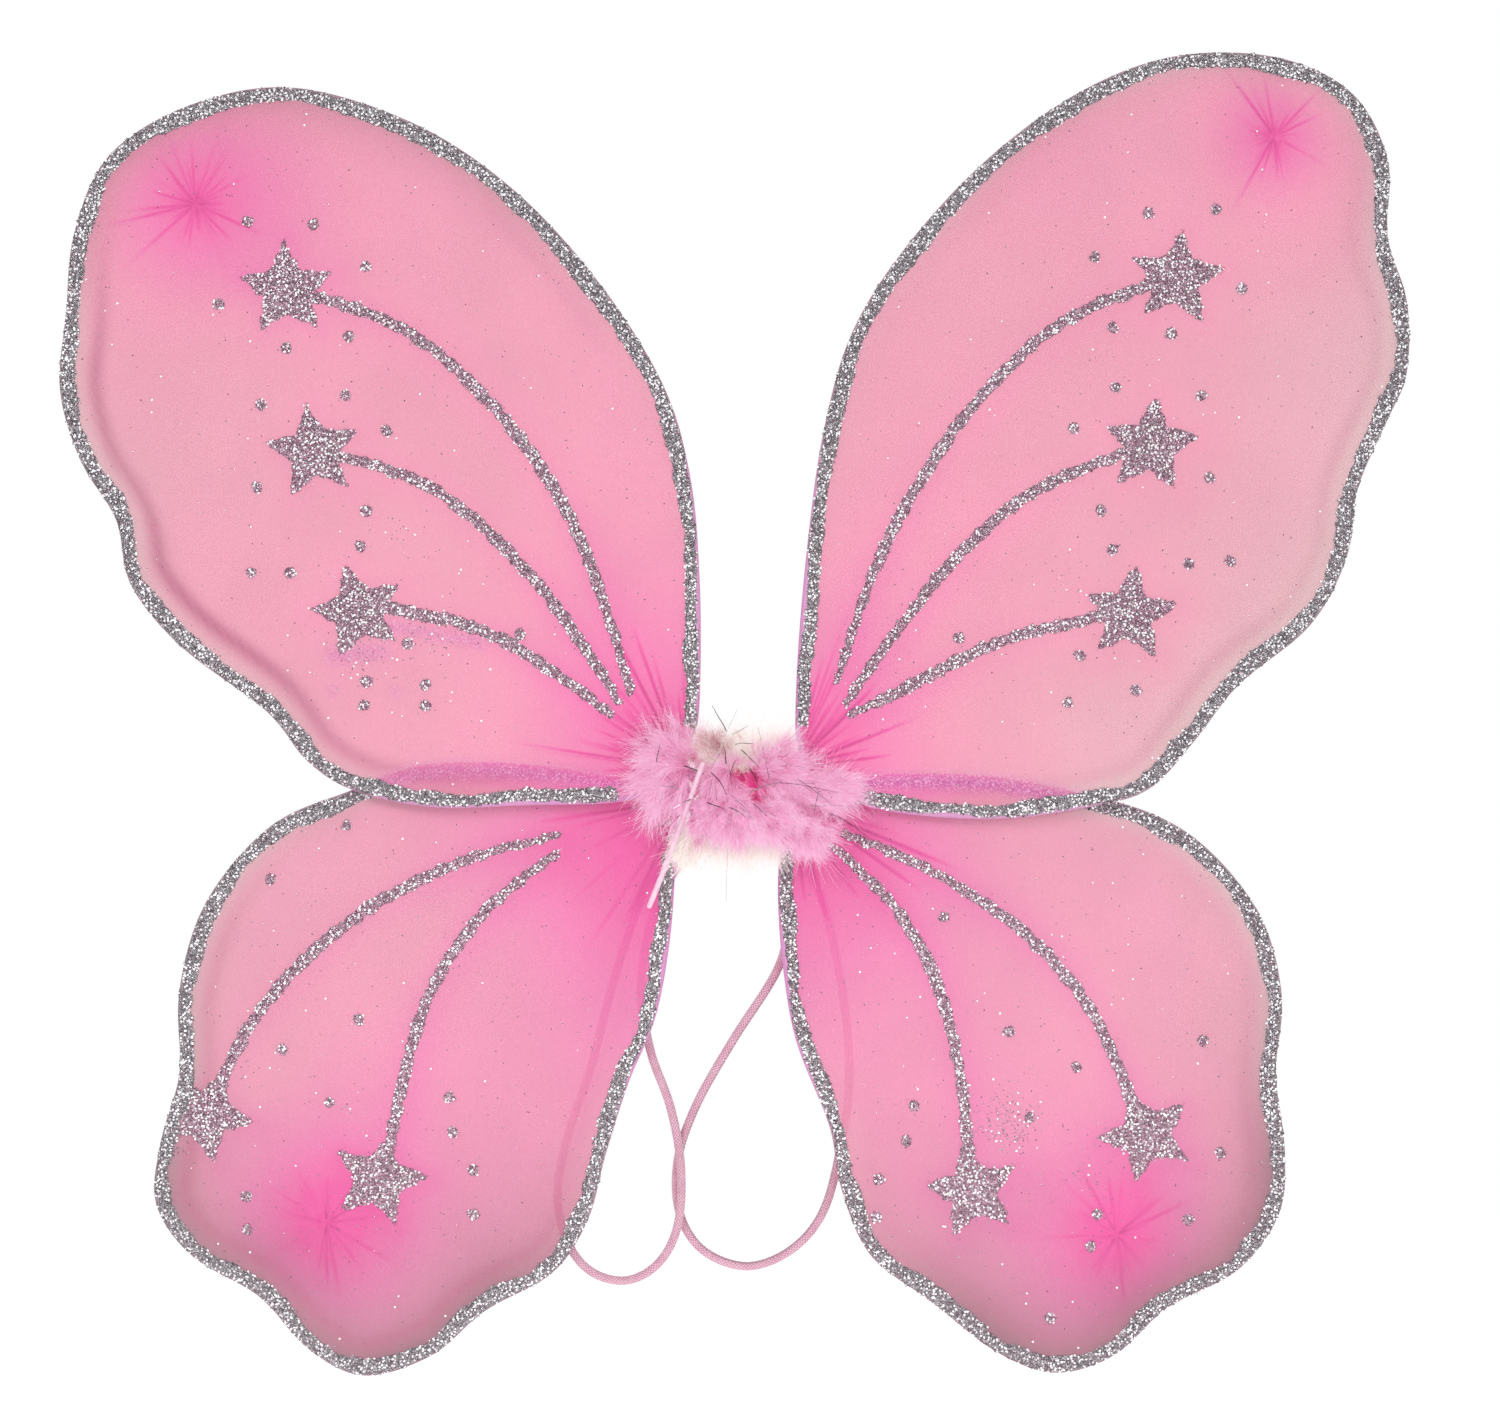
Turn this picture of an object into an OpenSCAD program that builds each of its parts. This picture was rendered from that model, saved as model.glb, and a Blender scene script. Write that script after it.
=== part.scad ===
// Fairy wings: four nylon-covered wire wings bound together at the back, trimmed with glitter glue
// and a marabou boa, and worn by two elastic arm loops.
// Upright as worn: +Z up, +X across the wearer's back, the glittered face looks to -Y and the wearer
// stands at +Y. The origin is the middle of the binding's flat back face, between the shoulder blades.
// Outlines and routes are [x, z] points on a wing's own flat plane.

/* [Wing frames] */
// Diameter of the frame wire
wire_d = 2; // [1.6:0.1:2]
// Distance of the upper wings' middle plane in front of the back face
upper_plane = 9; // [9:0.25:10]
// Distance of the lower wings' middle plane in front of the back face
lower_plane = 4; // [3.5:0.25:4]
// Straight steps in each span of a smooth outline
outline_steps = 4; // [3:1:5]

/* [Nylon covers] */
// Thickness of one layer of nylon
nylon_t = 0.4; // [0.3:0.05:0.4]
// Overall thickness of a covered wing
wing_t = 3; // [3:0.1:3.2]
// Diameter of the gathered tuft at a wing's tip
tuft_d = 4; // [3:0.5:5]
// Length of that tuft, behind the wing
tuft_l = 5; // [4:0.5:6]

/* [Glitter glue] */
// Thickness of the dried glue
glue_t = 0.8; // [0.5:0.1:1]
// Mean width of the glitter along the edge
edge_w = 5; // [4:0.5:6]
// Radius of a star, centre to tip
star_r = 17; // [15:0.5:17]
// Radius of a star, centre to the notch between two tips
star_notch_r = 8.3; // [7:0.1:9]
// Width of a star's trail where it meets the star
trail_w = 4; // [3:0.5:4.5]
// Diameter of a glitter dot
dot_d = 4; // [3:0.5:5]

/* [Centre] */
// Width of the binding, across the back
binding_w = 27; // [25:1:27]
// Height of the binding
binding_h = 14; // [13:0.5:14]
// Depth of the binding, back to front
binding_d = 12; // [12:0.5:13]
// Diameter of the boa's middle
boa_d = 17; // [15:0.5:17]
// Height of the boa's middle
boa_h = 48; // [44:1:50]
// Diameter of the boa's left end
boa_left_d = 16; // [14:0.5:17]
// Diameter of the boa's right end
boa_right_d = 22; // [18:0.5:22]
// Thickness of the boa's ends
boa_end_t = 6; // [5.5:0.5:6.5]
// Thickness of the plastic tie
tie_d = 1.6; // [1.4:0.1:1.6]

/* [Arm loops] */
// Diameter of the round elastic
elastic_d = 3; // [2.5:0.1:3]
// Diameter of the knots that the loops hang from
knot_d = 8; // [7:0.5:8]

/* [Hidden] */

nylon = [0.95, 0.55, 0.72];
glitter = [0.68, 0.66, 0.69];
steel = [0.62, 0.62, 0.64];
marabou = [0.92, 0.66, 0.82];
elastic = [0.86, 0.64, 0.72];
thread = [0.93, 0.45, 0.65];
pale_plastic = [1, 0.78, 0.87];

// Gap between two pieces that touch without pressing, and between a tie and what it is wound on
clear = 0.05;
wind_gap = 0.2;
// Distance of the glitter from a cover's rounded edge
glue_gap = 0.3;
cover_front = wing_t / 2;
wire_in = wing_t / 2;
neck_x = 17.4;
tail_in = 3.2;
neck_h = 5.2;
upper_neck_z = 5.4;
lower_neck_z = -5;
tube_sides = 8;
route_steps = 4;

// Edges of the four wings, from the neck round the wing and back to the neck
upper_right_edge_points = [
  [17.4, 8], [19.6, 8.2], [20.4, 11], [19.4, 20], [20.5, 48], [24, 86], [29, 120], [38, 152],
  [55, 180], [82, 210], [114, 234], [147, 247], [182, 247], [208, 235], [220.5, 212], [220.5, 186],
  [227, 164], [227, 140], [220.5, 124], [210.5, 101], [206.5, 77], [194, 54], [170, 34], [155, 15],
  [140, -1], [122, -7], [90, -11.5], [58, -10], [36, -5], [24, 1.5], [19.8, 2.8], [17.4, 2.8]
];
upper_left_edge_points = [
  [-17.4, 8], [-19.4, 8.3], [-19.4, 11.5], [-14, 19], [-12.6, 40], [-13, 72], [-16, 104], [-25, 135],
  [-46, 169], [-75, 201], [-109, 224], [-150, 236.5], [-185, 231], [-213, 214], [-225, 188],
  [-228, 160], [-230, 134], [-223, 110], [-211, 90], [-206, 68], [-189, 47], [-160, 25], [-146, 8],
  [-130, -2], [-104, -7.6], [-72, -7], [-40, -5.8], [-25, 0], [-20, 2.7], [-17.4, 2.8]
];
lower_right_edge_points = [
  [17.4, -7.6], [19.2, -8], [18.6, -11], [14.4, -20], [13.6, -40], [15.5, -64], [20, -88], [31, -116],
  [35, -137], [45, -160], [66, -176], [88, -193], [108, -200], [128, -194], [146, -178],
  [170, -165], [184, -146], [186, -124], [183, -98], [185, -72], [178, -45], [160, -22],
  [139, -9], [108, -1], [84, 3], [50, 3.5], [30, -0.5], [20.5, -2.4], [17.4, -2.4]
];
lower_left_edge_points = [
  [-17.4, -7.6], [-19.8, -7.9], [-20.6, -11], [-21, -23], [-23, -52], [-28, -79], [-37, -101],
  [-45, -126], [-51, -148], [-63, -166], [-86, -179], [-104, -194], [-127, -201], [-146, -192],
  [-163, -174], [-186, -160], [-198, -142], [-196, -120], [-190, -98], [-190, -70], [-181, -40],
  [-159, -14], [-132, -2], [-108, 6.5], [-80, 7.5], [-50, 4], [-30, 0], [-20.5, -2.4], [-17.4, -2.4]
];

// Where the nylon is gathered and tied off, behind each wing's tip
upper_left_tip = [-184, 197];
upper_right_tip = [182, 220];
lower_left_tip = [-140, -149];
lower_right_tip = [129, -153];

// Stars: centre, then the turn of the first tip away from straight up
upper_left_stars = [[-153, 168, 3], [-144, 113, 9], [-129, 59, 15]];
upper_right_stars = [[149, 172, -6], [140, 115, -6], [133, 58, -6]];
lower_left_stars = [[-181, -112, -27], [-122, -134, -15]];
lower_right_stars = [[139, -119, 22], [80, -138, 12]];

// Trails, each from near the binding out to its star
upper_left_trails = [
  [[-36, 30], [-44, 57], [-57, 91], [-80, 125], [-112, 154], [-148, 167]],
  [[-40, 27], [-49, 42], [-72, 73], [-104, 101], [-138, 112]],
  [[-42, 23], [-62, 38], [-88, 53], [-124, 61]]
];
upper_right_trails = [
  [[33, 34], [46, 72], [61, 102], [82, 131], [110, 157], [144, 171]],
  [[36, 27], [53, 51], [75, 78], [101, 100], [135, 114]],
  [[37, 23], [61, 35], [90, 49], [127, 58]]
];
lower_left_trails = [
  [[-60, -17], [-91, -25], [-124, -41], [-150, -62], [-167, -84], [-178, -106]],
  [[-61, -23], [-85, -42], [-103, -67], [-112, -93], [-119, -127]]
];
lower_right_trails = [
  [[35, -16], [67, -30], [98, -51], [119, -75], [130, -98], [136, -113]],
  [[31, -20], [53, -41], [67, -66], [75, -95], [79, -130]]
];

// Glitter dots
upper_left_dot_points = [
  [-166, 191], [-144, 190], [-126, 176], [-176, 163], [-153, 148], [-132, 152], [-133, 132],
  [-162, 129], [-119, 120], [-163, 101], [-126, 93], [-128, 81], [-165, 72], [-152, 72],
  [-74, 51], [-112, 48], [-126, 35], [-106, 34], [-127, 27], [-106, 27]
];
upper_right_dot_points = [
  [139, 194], [162, 195], [121, 179], [171, 168], [127, 155], [147, 153], [128, 135], [157, 132],
  [114, 121], [160, 104], [123, 93], [127, 80], [153, 75], [167, 76], [75, 50], [116, 44],
  [135, 32], [112, 28]
];
lower_left_dot_points = [
  [-133, -14], [-159, -32], [-129, -80], [-155, -90], [-139, -108], [-98, -106], [-97, -118],
  [-90, -131], [-90, -146], [-167, -140], [-167, -151]
];
lower_right_dot_points = [
  [70, -45], [92, -84], [115, -96], [158, -87], [60, -109], [57, -121], [99, -113], [48, -134],
  [47, -147], [164, -125], [122, -146], [120, -157], [153, -148], [106, -181]
];

// Routes of the two arm loops: x, y, z from the knot down, round and back up to the knot
left_loop_route = [
  [-8.6, -3, -14], [-10.5, -1.5, -17.5], [-18, 0.5, -24.5], [-28, 0.5, -42], [-33, 0.5, -67], [-30, 0.5, -90],
  [-23, 0.5, -110], [-19.5, 0.5, -130], [-20.5, 0.5, -150], [-27, 0.5, -163], [-38, 0.5, -169],
  [-50, 0.5, -166], [-58, 0.5, -156], [-61.5, 0.5, -140], [-58, 0.5, -120], [-50, 0.5, -96],
  [-41.5, 0.5, -64], [-32, 0.5, -37], [-22, 0.5, -21.5], [-14.5, -1, -16.5], [-11.8, -3, -14]
];
right_loop_route = [
  [8.4, -3, -14], [10.5, 0, -18], [16.5, 3.4, -25], [18, 4.2, -41], [14, 4.2, -62], [-1.5, 4.2, -87],
  [-14, 4.2, -109], [-20.5, 4.2, -128], [-20, 4.2, -146], [-12, 4.2, -159], [3, 4.2, -164.5],
  [18, 4.2, -159], [29, 4.2, -146], [35, 4.2, -124], [38, 4.2, -100], [36, 4.2, -73],
  [30, 4.2, -43], [22.5, 3.4, -24.5], [15.5, 0, -16.5], [11.6, -3, -14]
];
knot_y = -3;
knot_z = -11.3;
left_knot_x = -10.2;
right_knot_x = 10;

// The tie's free tail: x, y, z from its root on the boa down across the lower left wing
tail_route = [[-12, -17.3, 7], [-17.3, -17, -8], [-24, -14, -26], [-30, -9.5, -41]];

// A wing: its edge, the side of that path the outside is on (1 left, -1 right), the distance of its
// plane in front of the back face, the height of its neck, and its tip gather
upper_left = [upper_left_edge_points, -1, upper_plane, upper_neck_z, upper_left_tip];
upper_right = [upper_right_edge_points, 1, upper_plane, upper_neck_z, upper_right_tip];
lower_left = [lower_left_edge_points, 1, lower_plane, lower_neck_z, lower_left_tip];
lower_right = [lower_right_edge_points, -1, lower_plane, lower_neck_z, lower_right_tip];
function hand(wing) = wing[0][0][0] > 0 ? 1 : -1;

function unit(v) = v / norm(v);
function at(list, i) = list[max(0, min(len(list) - 1, i))];

// Smooth open curve through a list of points
function curve_point(a, b, c, d, t) =
  (2 * b + (c - a) * t + (2 * a - 5 * b + 4 * c - d) * t * t + (3 * b - a - 3 * c + d) * t * t * t) / 2;
function smooth(p, steps) = concat(
  [for (i = [0 : len(p) - 2], k = [0 : steps - 1])
    curve_point(at(p, i - 1), p[i], p[i + 1], at(p, i + 2), k / steps)],
  [p[len(p) - 1]]
);

// Unit vector along a path, and the one to its left on a flat path
function direction(p, i) = unit(at(p, i + 1) - at(p, i - 1));
function left_of(p, i) = [-direction(p, i)[1], direction(p, i)[0]];
function reversed(p) = [for (i = [len(p) - 1 : -1 : 0]) p[i]];

// A wing's smooth edge, and the same moved inward
function edge(wing) = smooth(wing[0], outline_steps);
function edge_inside(wing, inward) =
  let (p = edge(wing)) [for (i = [0 : len(p) - 1]) p[i] - wing[1] * inward * left_of(p, i)];

// An inner path with both its ends carried on through the open neck, towards the middle
function through_neck(wing, inward) =
  let (p = edge_inside(wing, inward), x = hand(wing) * (neck_x - tail_in), last = len(p) - 1)
  concat([[x, p[0][1]]], p, [[x, p[last][1]]]);

// Tube of round section along a route, its rings square to the route
module tube(route, d) {
  n = len(route);
  points = [for (i = [0 : n - 1])
    let (along = direction(route, i), u = unit(cross(along, [0, 1, 0])), v = cross(u, along))
    for (k = [0 : tube_sides - 1])
      let (turn = 360 * k / tube_sides) route[i] + d / 2 * (cos(turn) * u + sin(turn) * v)];
  sides = [for (i = [0 : n - 2], k = [0 : tube_sides - 1])
    let (a = i * tube_sides + k, b = i * tube_sides + (k + 1) % tube_sides)
    [a, b, b + tube_sides, a + tube_sides]];
  first_end = [for (k = [tube_sides - 1 : -1 : 0]) k];
  last_end = [for (k = [0 : tube_sides - 1]) (n - 1) * tube_sides + k];
  polyhedron(points = points, faces = concat(sides, [first_end, last_end]), convexity = 4);
}

// Flat slab whose back lies a given distance in front of the back face
module slab(start, thick) translate([0, -start, 0]) rotate([90, 0, 0]) linear_extrude(thick) children();

// ---- One wing's pieces ----
module wing_wire(wing) color(steel)
  tube([for (q = through_neck(wing, wire_in)) [q[0], -wing[2], q[1]]], wire_d - 2 * clear);

// Two layers of nylon drawn over the wire, open at the neck, with the tuft tied off behind the tip
module wing_cover(wing) color(nylon) {
  difference() {
    slab(wing[2] - cover_front, wing_t) polygon(edge(wing));
    slab(wing[2] - cover_front + nylon_t, wing_t - 2 * nylon_t) polygon(through_neck(wing, nylon_t));
  }
  translate([wing[4][0], cover_front - wing[2], wing[4][1]]) rotate([-90, 0, 0])
    cylinder(d = tuft_d, h = tuft_l, $fn = 32);
}

// Thread wound round a wing's gathered neck
neck_tie_w = 1.4;
neck_tie_wall = 0.8;
module neck_section(grow) square([wing_t + 2 * grow, neck_h + 2 * grow], center = true);
module neck_tie(wing) color(thread)
  translate([hand(wing) * (neck_x + wind_gap + neck_tie_w / 2) - neck_tie_w / 2, -wing[2], wing[3]])
    rotate([90, 0, 90]) linear_extrude(neck_tie_w) difference() {
      neck_section(wind_gap + neck_tie_wall);
      neck_section(wind_gap);
    }

// Thread wound round the tuft behind a wing's tip
tip_tie_w = 1.8;
tip_tie_wall = 0.9;
module tip_tie(wing) color(thread)
  translate([wing[4][0], cover_front - wing[2] + 2 * wind_gap, wing[4][1]]) rotate([-90, 0, 0]) difference() {
    cylinder(d = tuft_d + 2 * tip_tie_wall, h = tip_tie_w, $fn = 32);
    translate([0, 0, -1]) cylinder(d = tuft_d + 2 * clear, h = tip_tie_w + 2, $fn = 32);
  }

// Glitter glue lies on a cover's front
module glued(wing) color(glitter) slab(wing[2] + cover_front, glue_t) children();

// Glitter along the edge: a band whose inner side wanders in and out
function band_width(i) = edge_w + 0.6 * sin(47 * i) + 0.4 * sin(113 * i);
module band_shape(wing) {
  rim = edge_inside(wing, glue_gap);
  first = 3 * outline_steps;
  last = len(rim) - 1 - first;
  inner = [for (i = [last : -1 : first]) rim[i] - wing[1] * band_width(i) * left_of(rim, i)];
  polygon(concat([for (i = [first : last]) rim[i]], inner));
}
module edge_band(wing) glued(wing) band_shape(wing);

// Shooting star: a five-pointed star with a trail that widens towards it, kept off the edge's glitter
module star_shape(place) translate([place[0], place[1]]) rotate(place[2])
  polygon([for (k = [0 : 9]) (k % 2 == 0 ? star_r : star_notch_r) * [sin(36 * k), cos(36 * k)]]);
trail_tip_w = 2.6;
function trail_width(i, n) = trail_tip_w + (trail_w - trail_tip_w) * min(1, 3 * i / n);
function trail_side(p, side) =
  [for (i = [0 : len(p) - 1]) p[i] + side * trail_width(i, len(p)) / 2 * left_of(p, i)];
module trail_shape(route) {
  p = smooth(route, outline_steps);
  polygon(concat(trail_side(p, 1), reversed(trail_side(p, -1))));
}
module shooting_star(wing, place, route) glued(wing) difference() {
  intersection() {
    union() {
      star_shape(place);
      trail_shape(route);
    }
    polygon(edge_inside(wing, edge_w / 2));
  }
  band_shape(wing);
}

module dots(wing, places) glued(wing) for (place = places) translate(place) circle(d = dot_d, $fn = 24);

// ---- Centre ----
groove_x = -12;
groove_w = tie_d + 0.4;
boa_cord_d = 2.4;
boa_cord_y = -binding_d - boa_cord_d / 2 - clear;
twist_d = 5.4;
twist_turns = 1.5;

// The four wings' wire tails twisted together inside the binding
module wire_twist() color(steel)
  translate([wind_gap - binding_w / 2, -binding_d / 2, 0]) rotate([0, 90, 0])
    linear_extrude(binding_w - 2 * wind_gap, twist = 360 * twist_turns, slices = 30)
      for (k = [0 : 3]) rotate(90 * k) translate([twist_d / 2 - wire_d / 2 - wind_gap, 0])
        circle(d = wire_d - 2 * clear, $fn = 10);

// Tape bound round the twist, pressed flat at the back, with a groove for the tie
module across(from, w) translate([from, -binding_d / 2, 0]) rotate([90, 0, 90]) linear_extrude(w) children();
corner_r = 3;
module binding() color(thread) difference() {
  across(-binding_w / 2, binding_w) union() {
    square([binding_d - 2 * corner_r, binding_h], center = true);
    square([binding_d, binding_h - 2 * corner_r], center = true);
    for (y = [-1, 1] * (binding_d / 2 - corner_r), z = [-1, 1] * (binding_h / 2 - corner_r))
      translate([y, z]) circle(r = corner_r, $fn = 32);
  }
  across(-binding_w / 2 - 1, binding_w + 2) circle(d = twist_d, $fn = 48);
  across(groove_x - groove_w / 2, groove_w) difference() {
    square([binding_d + 4, binding_h + 4], center = true);
    translate([-2, 0]) square([binding_d - 2 * tie_d, binding_h - 2 * tie_d - 0.2], center = true);
    translate([-binding_d, -binding_h / 2 + tie_d + 0.1]) square([binding_d, binding_h - 2 * tie_d - 0.2]);
  }
}

// The boa's own cord, laid along the front of the binding
module boa_cord() color(marabou)
  translate([-binding_w / 2, boa_cord_y, 0]) rotate([0, 90, 0])
    cylinder(d = boa_cord_d, h = binding_w, $fn = 24);

// Feathers round the middle of the boa
module boa_middle() color(marabou) difference() {
  r = boa_d / 2;
  translate([0, -binding_d - r - wind_gap, -boa_h / 2]) rotate_extrude($fn = 48) intersection() {
    union() {
      translate([0, r]) square([r, boa_h - 2 * r]);
      for (z = [r, boa_h - r]) translate([0, z]) circle(r = r, $fn = 48);
    }
    square([r, boa_h]);
  }
  translate([-r - 1, boa_cord_y, 0]) rotate([0, 90, 0])
    cylinder(d = boa_cord_d + 2 * clear, h = 2 * r + 2, $fn = 24);
}

// Feathers at one end of the boa, lying on an upper wing's root
boa_end_round = 2.5;
boa_left_place = [-27.5, 17];
boa_right_place = [31, -6];
module boa_end(place, d) color(marabou)
  translate([place[0], -upper_plane - cover_front - glue_t - glue_gap, place[1]]) rotate([90, 0, 0])
    rotate_extrude($fn = 48) union() {
      square([d / 2 - boa_end_round, boa_end_t]);
      translate([0, boa_end_round]) square([d / 2, boa_end_t - 2 * boa_end_round]);
      for (y = [boa_end_round, boa_end_t - boa_end_round])
        translate([d / 2 - boa_end_round, y]) circle(r = boa_end_round, $fn = 32);
    }

// Plastic tie: the band round the binding and the boa's cord, and its free tail
band_h = binding_h - 4 * clear;
band_reach = binding_d + boa_cord_d;
module tie_band() color(pale_plastic) across(groove_x - tie_d / 2, tie_d) difference() {
  translate([binding_d / 2 - wind_gap - band_reach - tie_d, -band_h / 2]) square([band_reach + tie_d, band_h]);
  translate([binding_d / 2 - wind_gap - band_reach, tie_d - band_h / 2])
    square([band_reach - tie_d, band_h - 2 * tie_d]);
}
module tie_tail() color(pale_plastic) tube(smooth(tail_route, route_steps), tie_d);

// ---- Arm loops ----
// Knot of a loop's two ends, round about the line that the loop swings on
knot_round = 2;
module loop_knot(x) color(elastic)
  translate([x - knot_d / 2, knot_y, knot_z]) rotate([0, 90, 0]) rotate_extrude($fn = 48) union() {
    square([knot_d / 2 - knot_round, knot_d]);
    translate([0, knot_round]) square([knot_d / 2, knot_d - 2 * knot_round]);
    for (y = [knot_round, knot_d - knot_round])
      translate([knot_d / 2 - knot_round, y]) circle(r = knot_round, $fn = 32);
  }
module arm_loop(route) color(elastic) tube(smooth(route, route_steps), elastic_d);

wire_twist();
binding();
boa_cord();
boa_middle();
tie_band();
tie_tail();
loop_knot(left_knot_x);  // loop_knot_left
loop_knot(right_knot_x);  // loop_knot_right
arm_loop(left_loop_route);  // arm_loop_left
arm_loop(right_loop_route);  // arm_loop_right

wing_wire(upper_left);  // upper_left_wire
wing_cover(upper_left);  // upper_left_cover
neck_tie(upper_left);  // upper_left_neck_tie
tip_tie(upper_left);  // upper_left_tip_tie
edge_band(upper_left);  // upper_left_edge
shooting_star(upper_left, upper_left_stars[0], upper_left_trails[0]);  // upper_left_star_top
shooting_star(upper_left, upper_left_stars[1], upper_left_trails[1]);  // upper_left_star_middle
shooting_star(upper_left, upper_left_stars[2], upper_left_trails[2]);  // upper_left_star_low
dots(upper_left, upper_left_dot_points);  // upper_left_dots
boa_end(boa_left_place, boa_left_d);  // boa_end_left

wing_wire(upper_right);  // upper_right_wire
wing_cover(upper_right);  // upper_right_cover
neck_tie(upper_right);  // upper_right_neck_tie
tip_tie(upper_right);  // upper_right_tip_tie
edge_band(upper_right);  // upper_right_edge
shooting_star(upper_right, upper_right_stars[0], upper_right_trails[0]);  // upper_right_star_top
shooting_star(upper_right, upper_right_stars[1], upper_right_trails[1]);  // upper_right_star_middle
shooting_star(upper_right, upper_right_stars[2], upper_right_trails[2]);  // upper_right_star_low
dots(upper_right, upper_right_dot_points);  // upper_right_dots
boa_end(boa_right_place, boa_right_d);  // boa_end_right

wing_wire(lower_left);  // lower_left_wire
wing_cover(lower_left);  // lower_left_cover
neck_tie(lower_left);  // lower_left_neck_tie
tip_tie(lower_left);  // lower_left_tip_tie
edge_band(lower_left);  // lower_left_edge
shooting_star(lower_left, lower_left_stars[0], lower_left_trails[0]);  // lower_left_star_outer
shooting_star(lower_left, lower_left_stars[1], lower_left_trails[1]);  // lower_left_star_inner
dots(lower_left, lower_left_dot_points);  // lower_left_dots

wing_wire(lower_right);  // lower_right_wire
wing_cover(lower_right);  // lower_right_cover
neck_tie(lower_right);  // lower_right_neck_tie
tip_tie(lower_right);  // lower_right_tip_tie
edge_band(lower_right);  // lower_right_edge
shooting_star(lower_right, lower_right_stars[0], lower_right_trails[0]);  // lower_right_star_outer
shooting_star(lower_right, lower_right_stars[1], lower_right_trails[1]);  // lower_right_star_inner
dots(lower_right, lower_right_dot_points);  // lower_right_dots
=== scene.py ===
"""Fairy wings: four nylon-covered wire wings with glitter glue, a marabou boa and two elastic loops.

Shapes are worked out in millimetres, x across and z up on a wing's plane, and y is its depth.
They are turned into metres where a mesh is made."""

import math
import zlib

import bpy
import numpy as np
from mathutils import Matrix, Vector
from mathutils.geometry import delaunay_2d_cdt


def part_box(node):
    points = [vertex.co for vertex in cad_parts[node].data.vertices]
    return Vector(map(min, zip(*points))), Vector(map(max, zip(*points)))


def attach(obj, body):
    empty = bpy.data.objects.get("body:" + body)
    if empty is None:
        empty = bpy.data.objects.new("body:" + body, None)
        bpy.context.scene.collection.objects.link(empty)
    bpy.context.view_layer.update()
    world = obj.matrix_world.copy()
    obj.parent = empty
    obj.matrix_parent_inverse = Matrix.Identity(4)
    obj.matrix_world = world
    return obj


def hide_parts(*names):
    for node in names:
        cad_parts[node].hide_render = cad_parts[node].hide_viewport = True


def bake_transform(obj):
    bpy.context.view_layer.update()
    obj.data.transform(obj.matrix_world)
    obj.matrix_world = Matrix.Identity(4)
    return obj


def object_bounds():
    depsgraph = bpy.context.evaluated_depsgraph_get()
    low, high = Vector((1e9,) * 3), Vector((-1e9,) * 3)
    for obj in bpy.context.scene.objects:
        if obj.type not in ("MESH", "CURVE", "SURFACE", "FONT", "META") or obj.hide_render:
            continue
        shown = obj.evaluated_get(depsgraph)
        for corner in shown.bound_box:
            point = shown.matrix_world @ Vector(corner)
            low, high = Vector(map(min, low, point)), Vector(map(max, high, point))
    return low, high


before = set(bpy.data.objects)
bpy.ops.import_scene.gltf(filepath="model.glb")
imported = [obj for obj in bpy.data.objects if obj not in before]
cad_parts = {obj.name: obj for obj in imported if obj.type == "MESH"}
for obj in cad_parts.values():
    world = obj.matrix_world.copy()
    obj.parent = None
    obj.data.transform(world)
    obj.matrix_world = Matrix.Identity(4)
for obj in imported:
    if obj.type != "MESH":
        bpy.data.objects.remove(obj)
cad_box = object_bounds()

MM = 0.001
HANDS = {"left": -1, "right": 1}
WINGS = ["upper_left", "upper_right", "lower_left", "lower_right"]


# ---------------------------------------------------------------- camera, light and floor
# In metres: how far the camera stands back, the x and z it looks at, and the width that it sees
CAMERA_DISTANCE = 2.0
VIEW_MIDDLE = (0.0041, 0.0251)
VIEW_WIDTH = 0.5085
SENSOR = 36
LIGHTS_AIM = (0, 0, 0.02)
# Each softbox: place in metres, width in metres, radiance
SOFTBOXES = {"key": ((-0.85, -1.35, 0.95), 0.62, 8.3), "fill": ((1.15, -1.3, 0.35), 0.55, 6.0),
             "low": ((-0.25, -1.5, -0.55), 0.35, 2.0), "back_left": ((-0.9, 1.3, 0.8), 0.6, 8.0),
             "back_right": ((1.0, 1.25, 0.3), 0.55, 7.0)}
# The sparkle lights: x and z of each, then the depth, width and radiance of all
SPARKLE_PLACES = [(-0.5, 0.15), (0.45, 0.75), (0.1, -0.35), (0.7, -0.2)]
SPARKLE_Y, SPARKLE_WIDTH, SPARKLE_RADIANCE = -1.7, 0.09, 60.0
# The room's grey at the floor and at the ceiling, and how strongly it lights
ROOM_LOW, ROOM_HIGH, ROOM_STRENGTH = (0.25, 0.25, 0.26, 1), (0.62, 0.62, 0.63, 1), 0.8
# The floor's drop below the object and half width in metres, and where it fades in millimetres
FLOOR_DROP, FLOOR_HALF_W, FLOOR_FADE = 0.012, 1.6, (250, 900)


def add_camera():
    """Straight in front, with VIEW_WIDTH seen at the depth of the wings' fronts."""
    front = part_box("upper_left_cover")[0][1]
    camera = bpy.data.objects.new("camera", bpy.data.cameras.new("camera"))
    camera.location = (VIEW_MIDDLE[0], -CAMERA_DISTANCE, VIEW_MIDDLE[1])
    camera.rotation_euler = (math.radians(90), 0, 0)
    camera.data.sensor_width = SENSOR
    camera.data.lens = SENSOR * (CAMERA_DISTANCE + front) / VIEW_WIDTH
    bpy.context.scene.collection.objects.link(camera)
    bpy.context.scene.camera = camera


def softbox(name, place, width, radiance):
    """A square light that looks at the wings and is equally bright all over."""
    light = bpy.data.lights.new(name, "AREA")
    light.size = width
    light.energy = radiance * math.pi * width * width
    box = bpy.data.objects.new(name, light)
    box.location = place
    aim = Vector(LIGHTS_AIM) - box.location
    box.rotation_euler = aim.to_track_quat("-Z", "Y").to_euler()
    bpy.context.scene.collection.objects.link(box)


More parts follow.
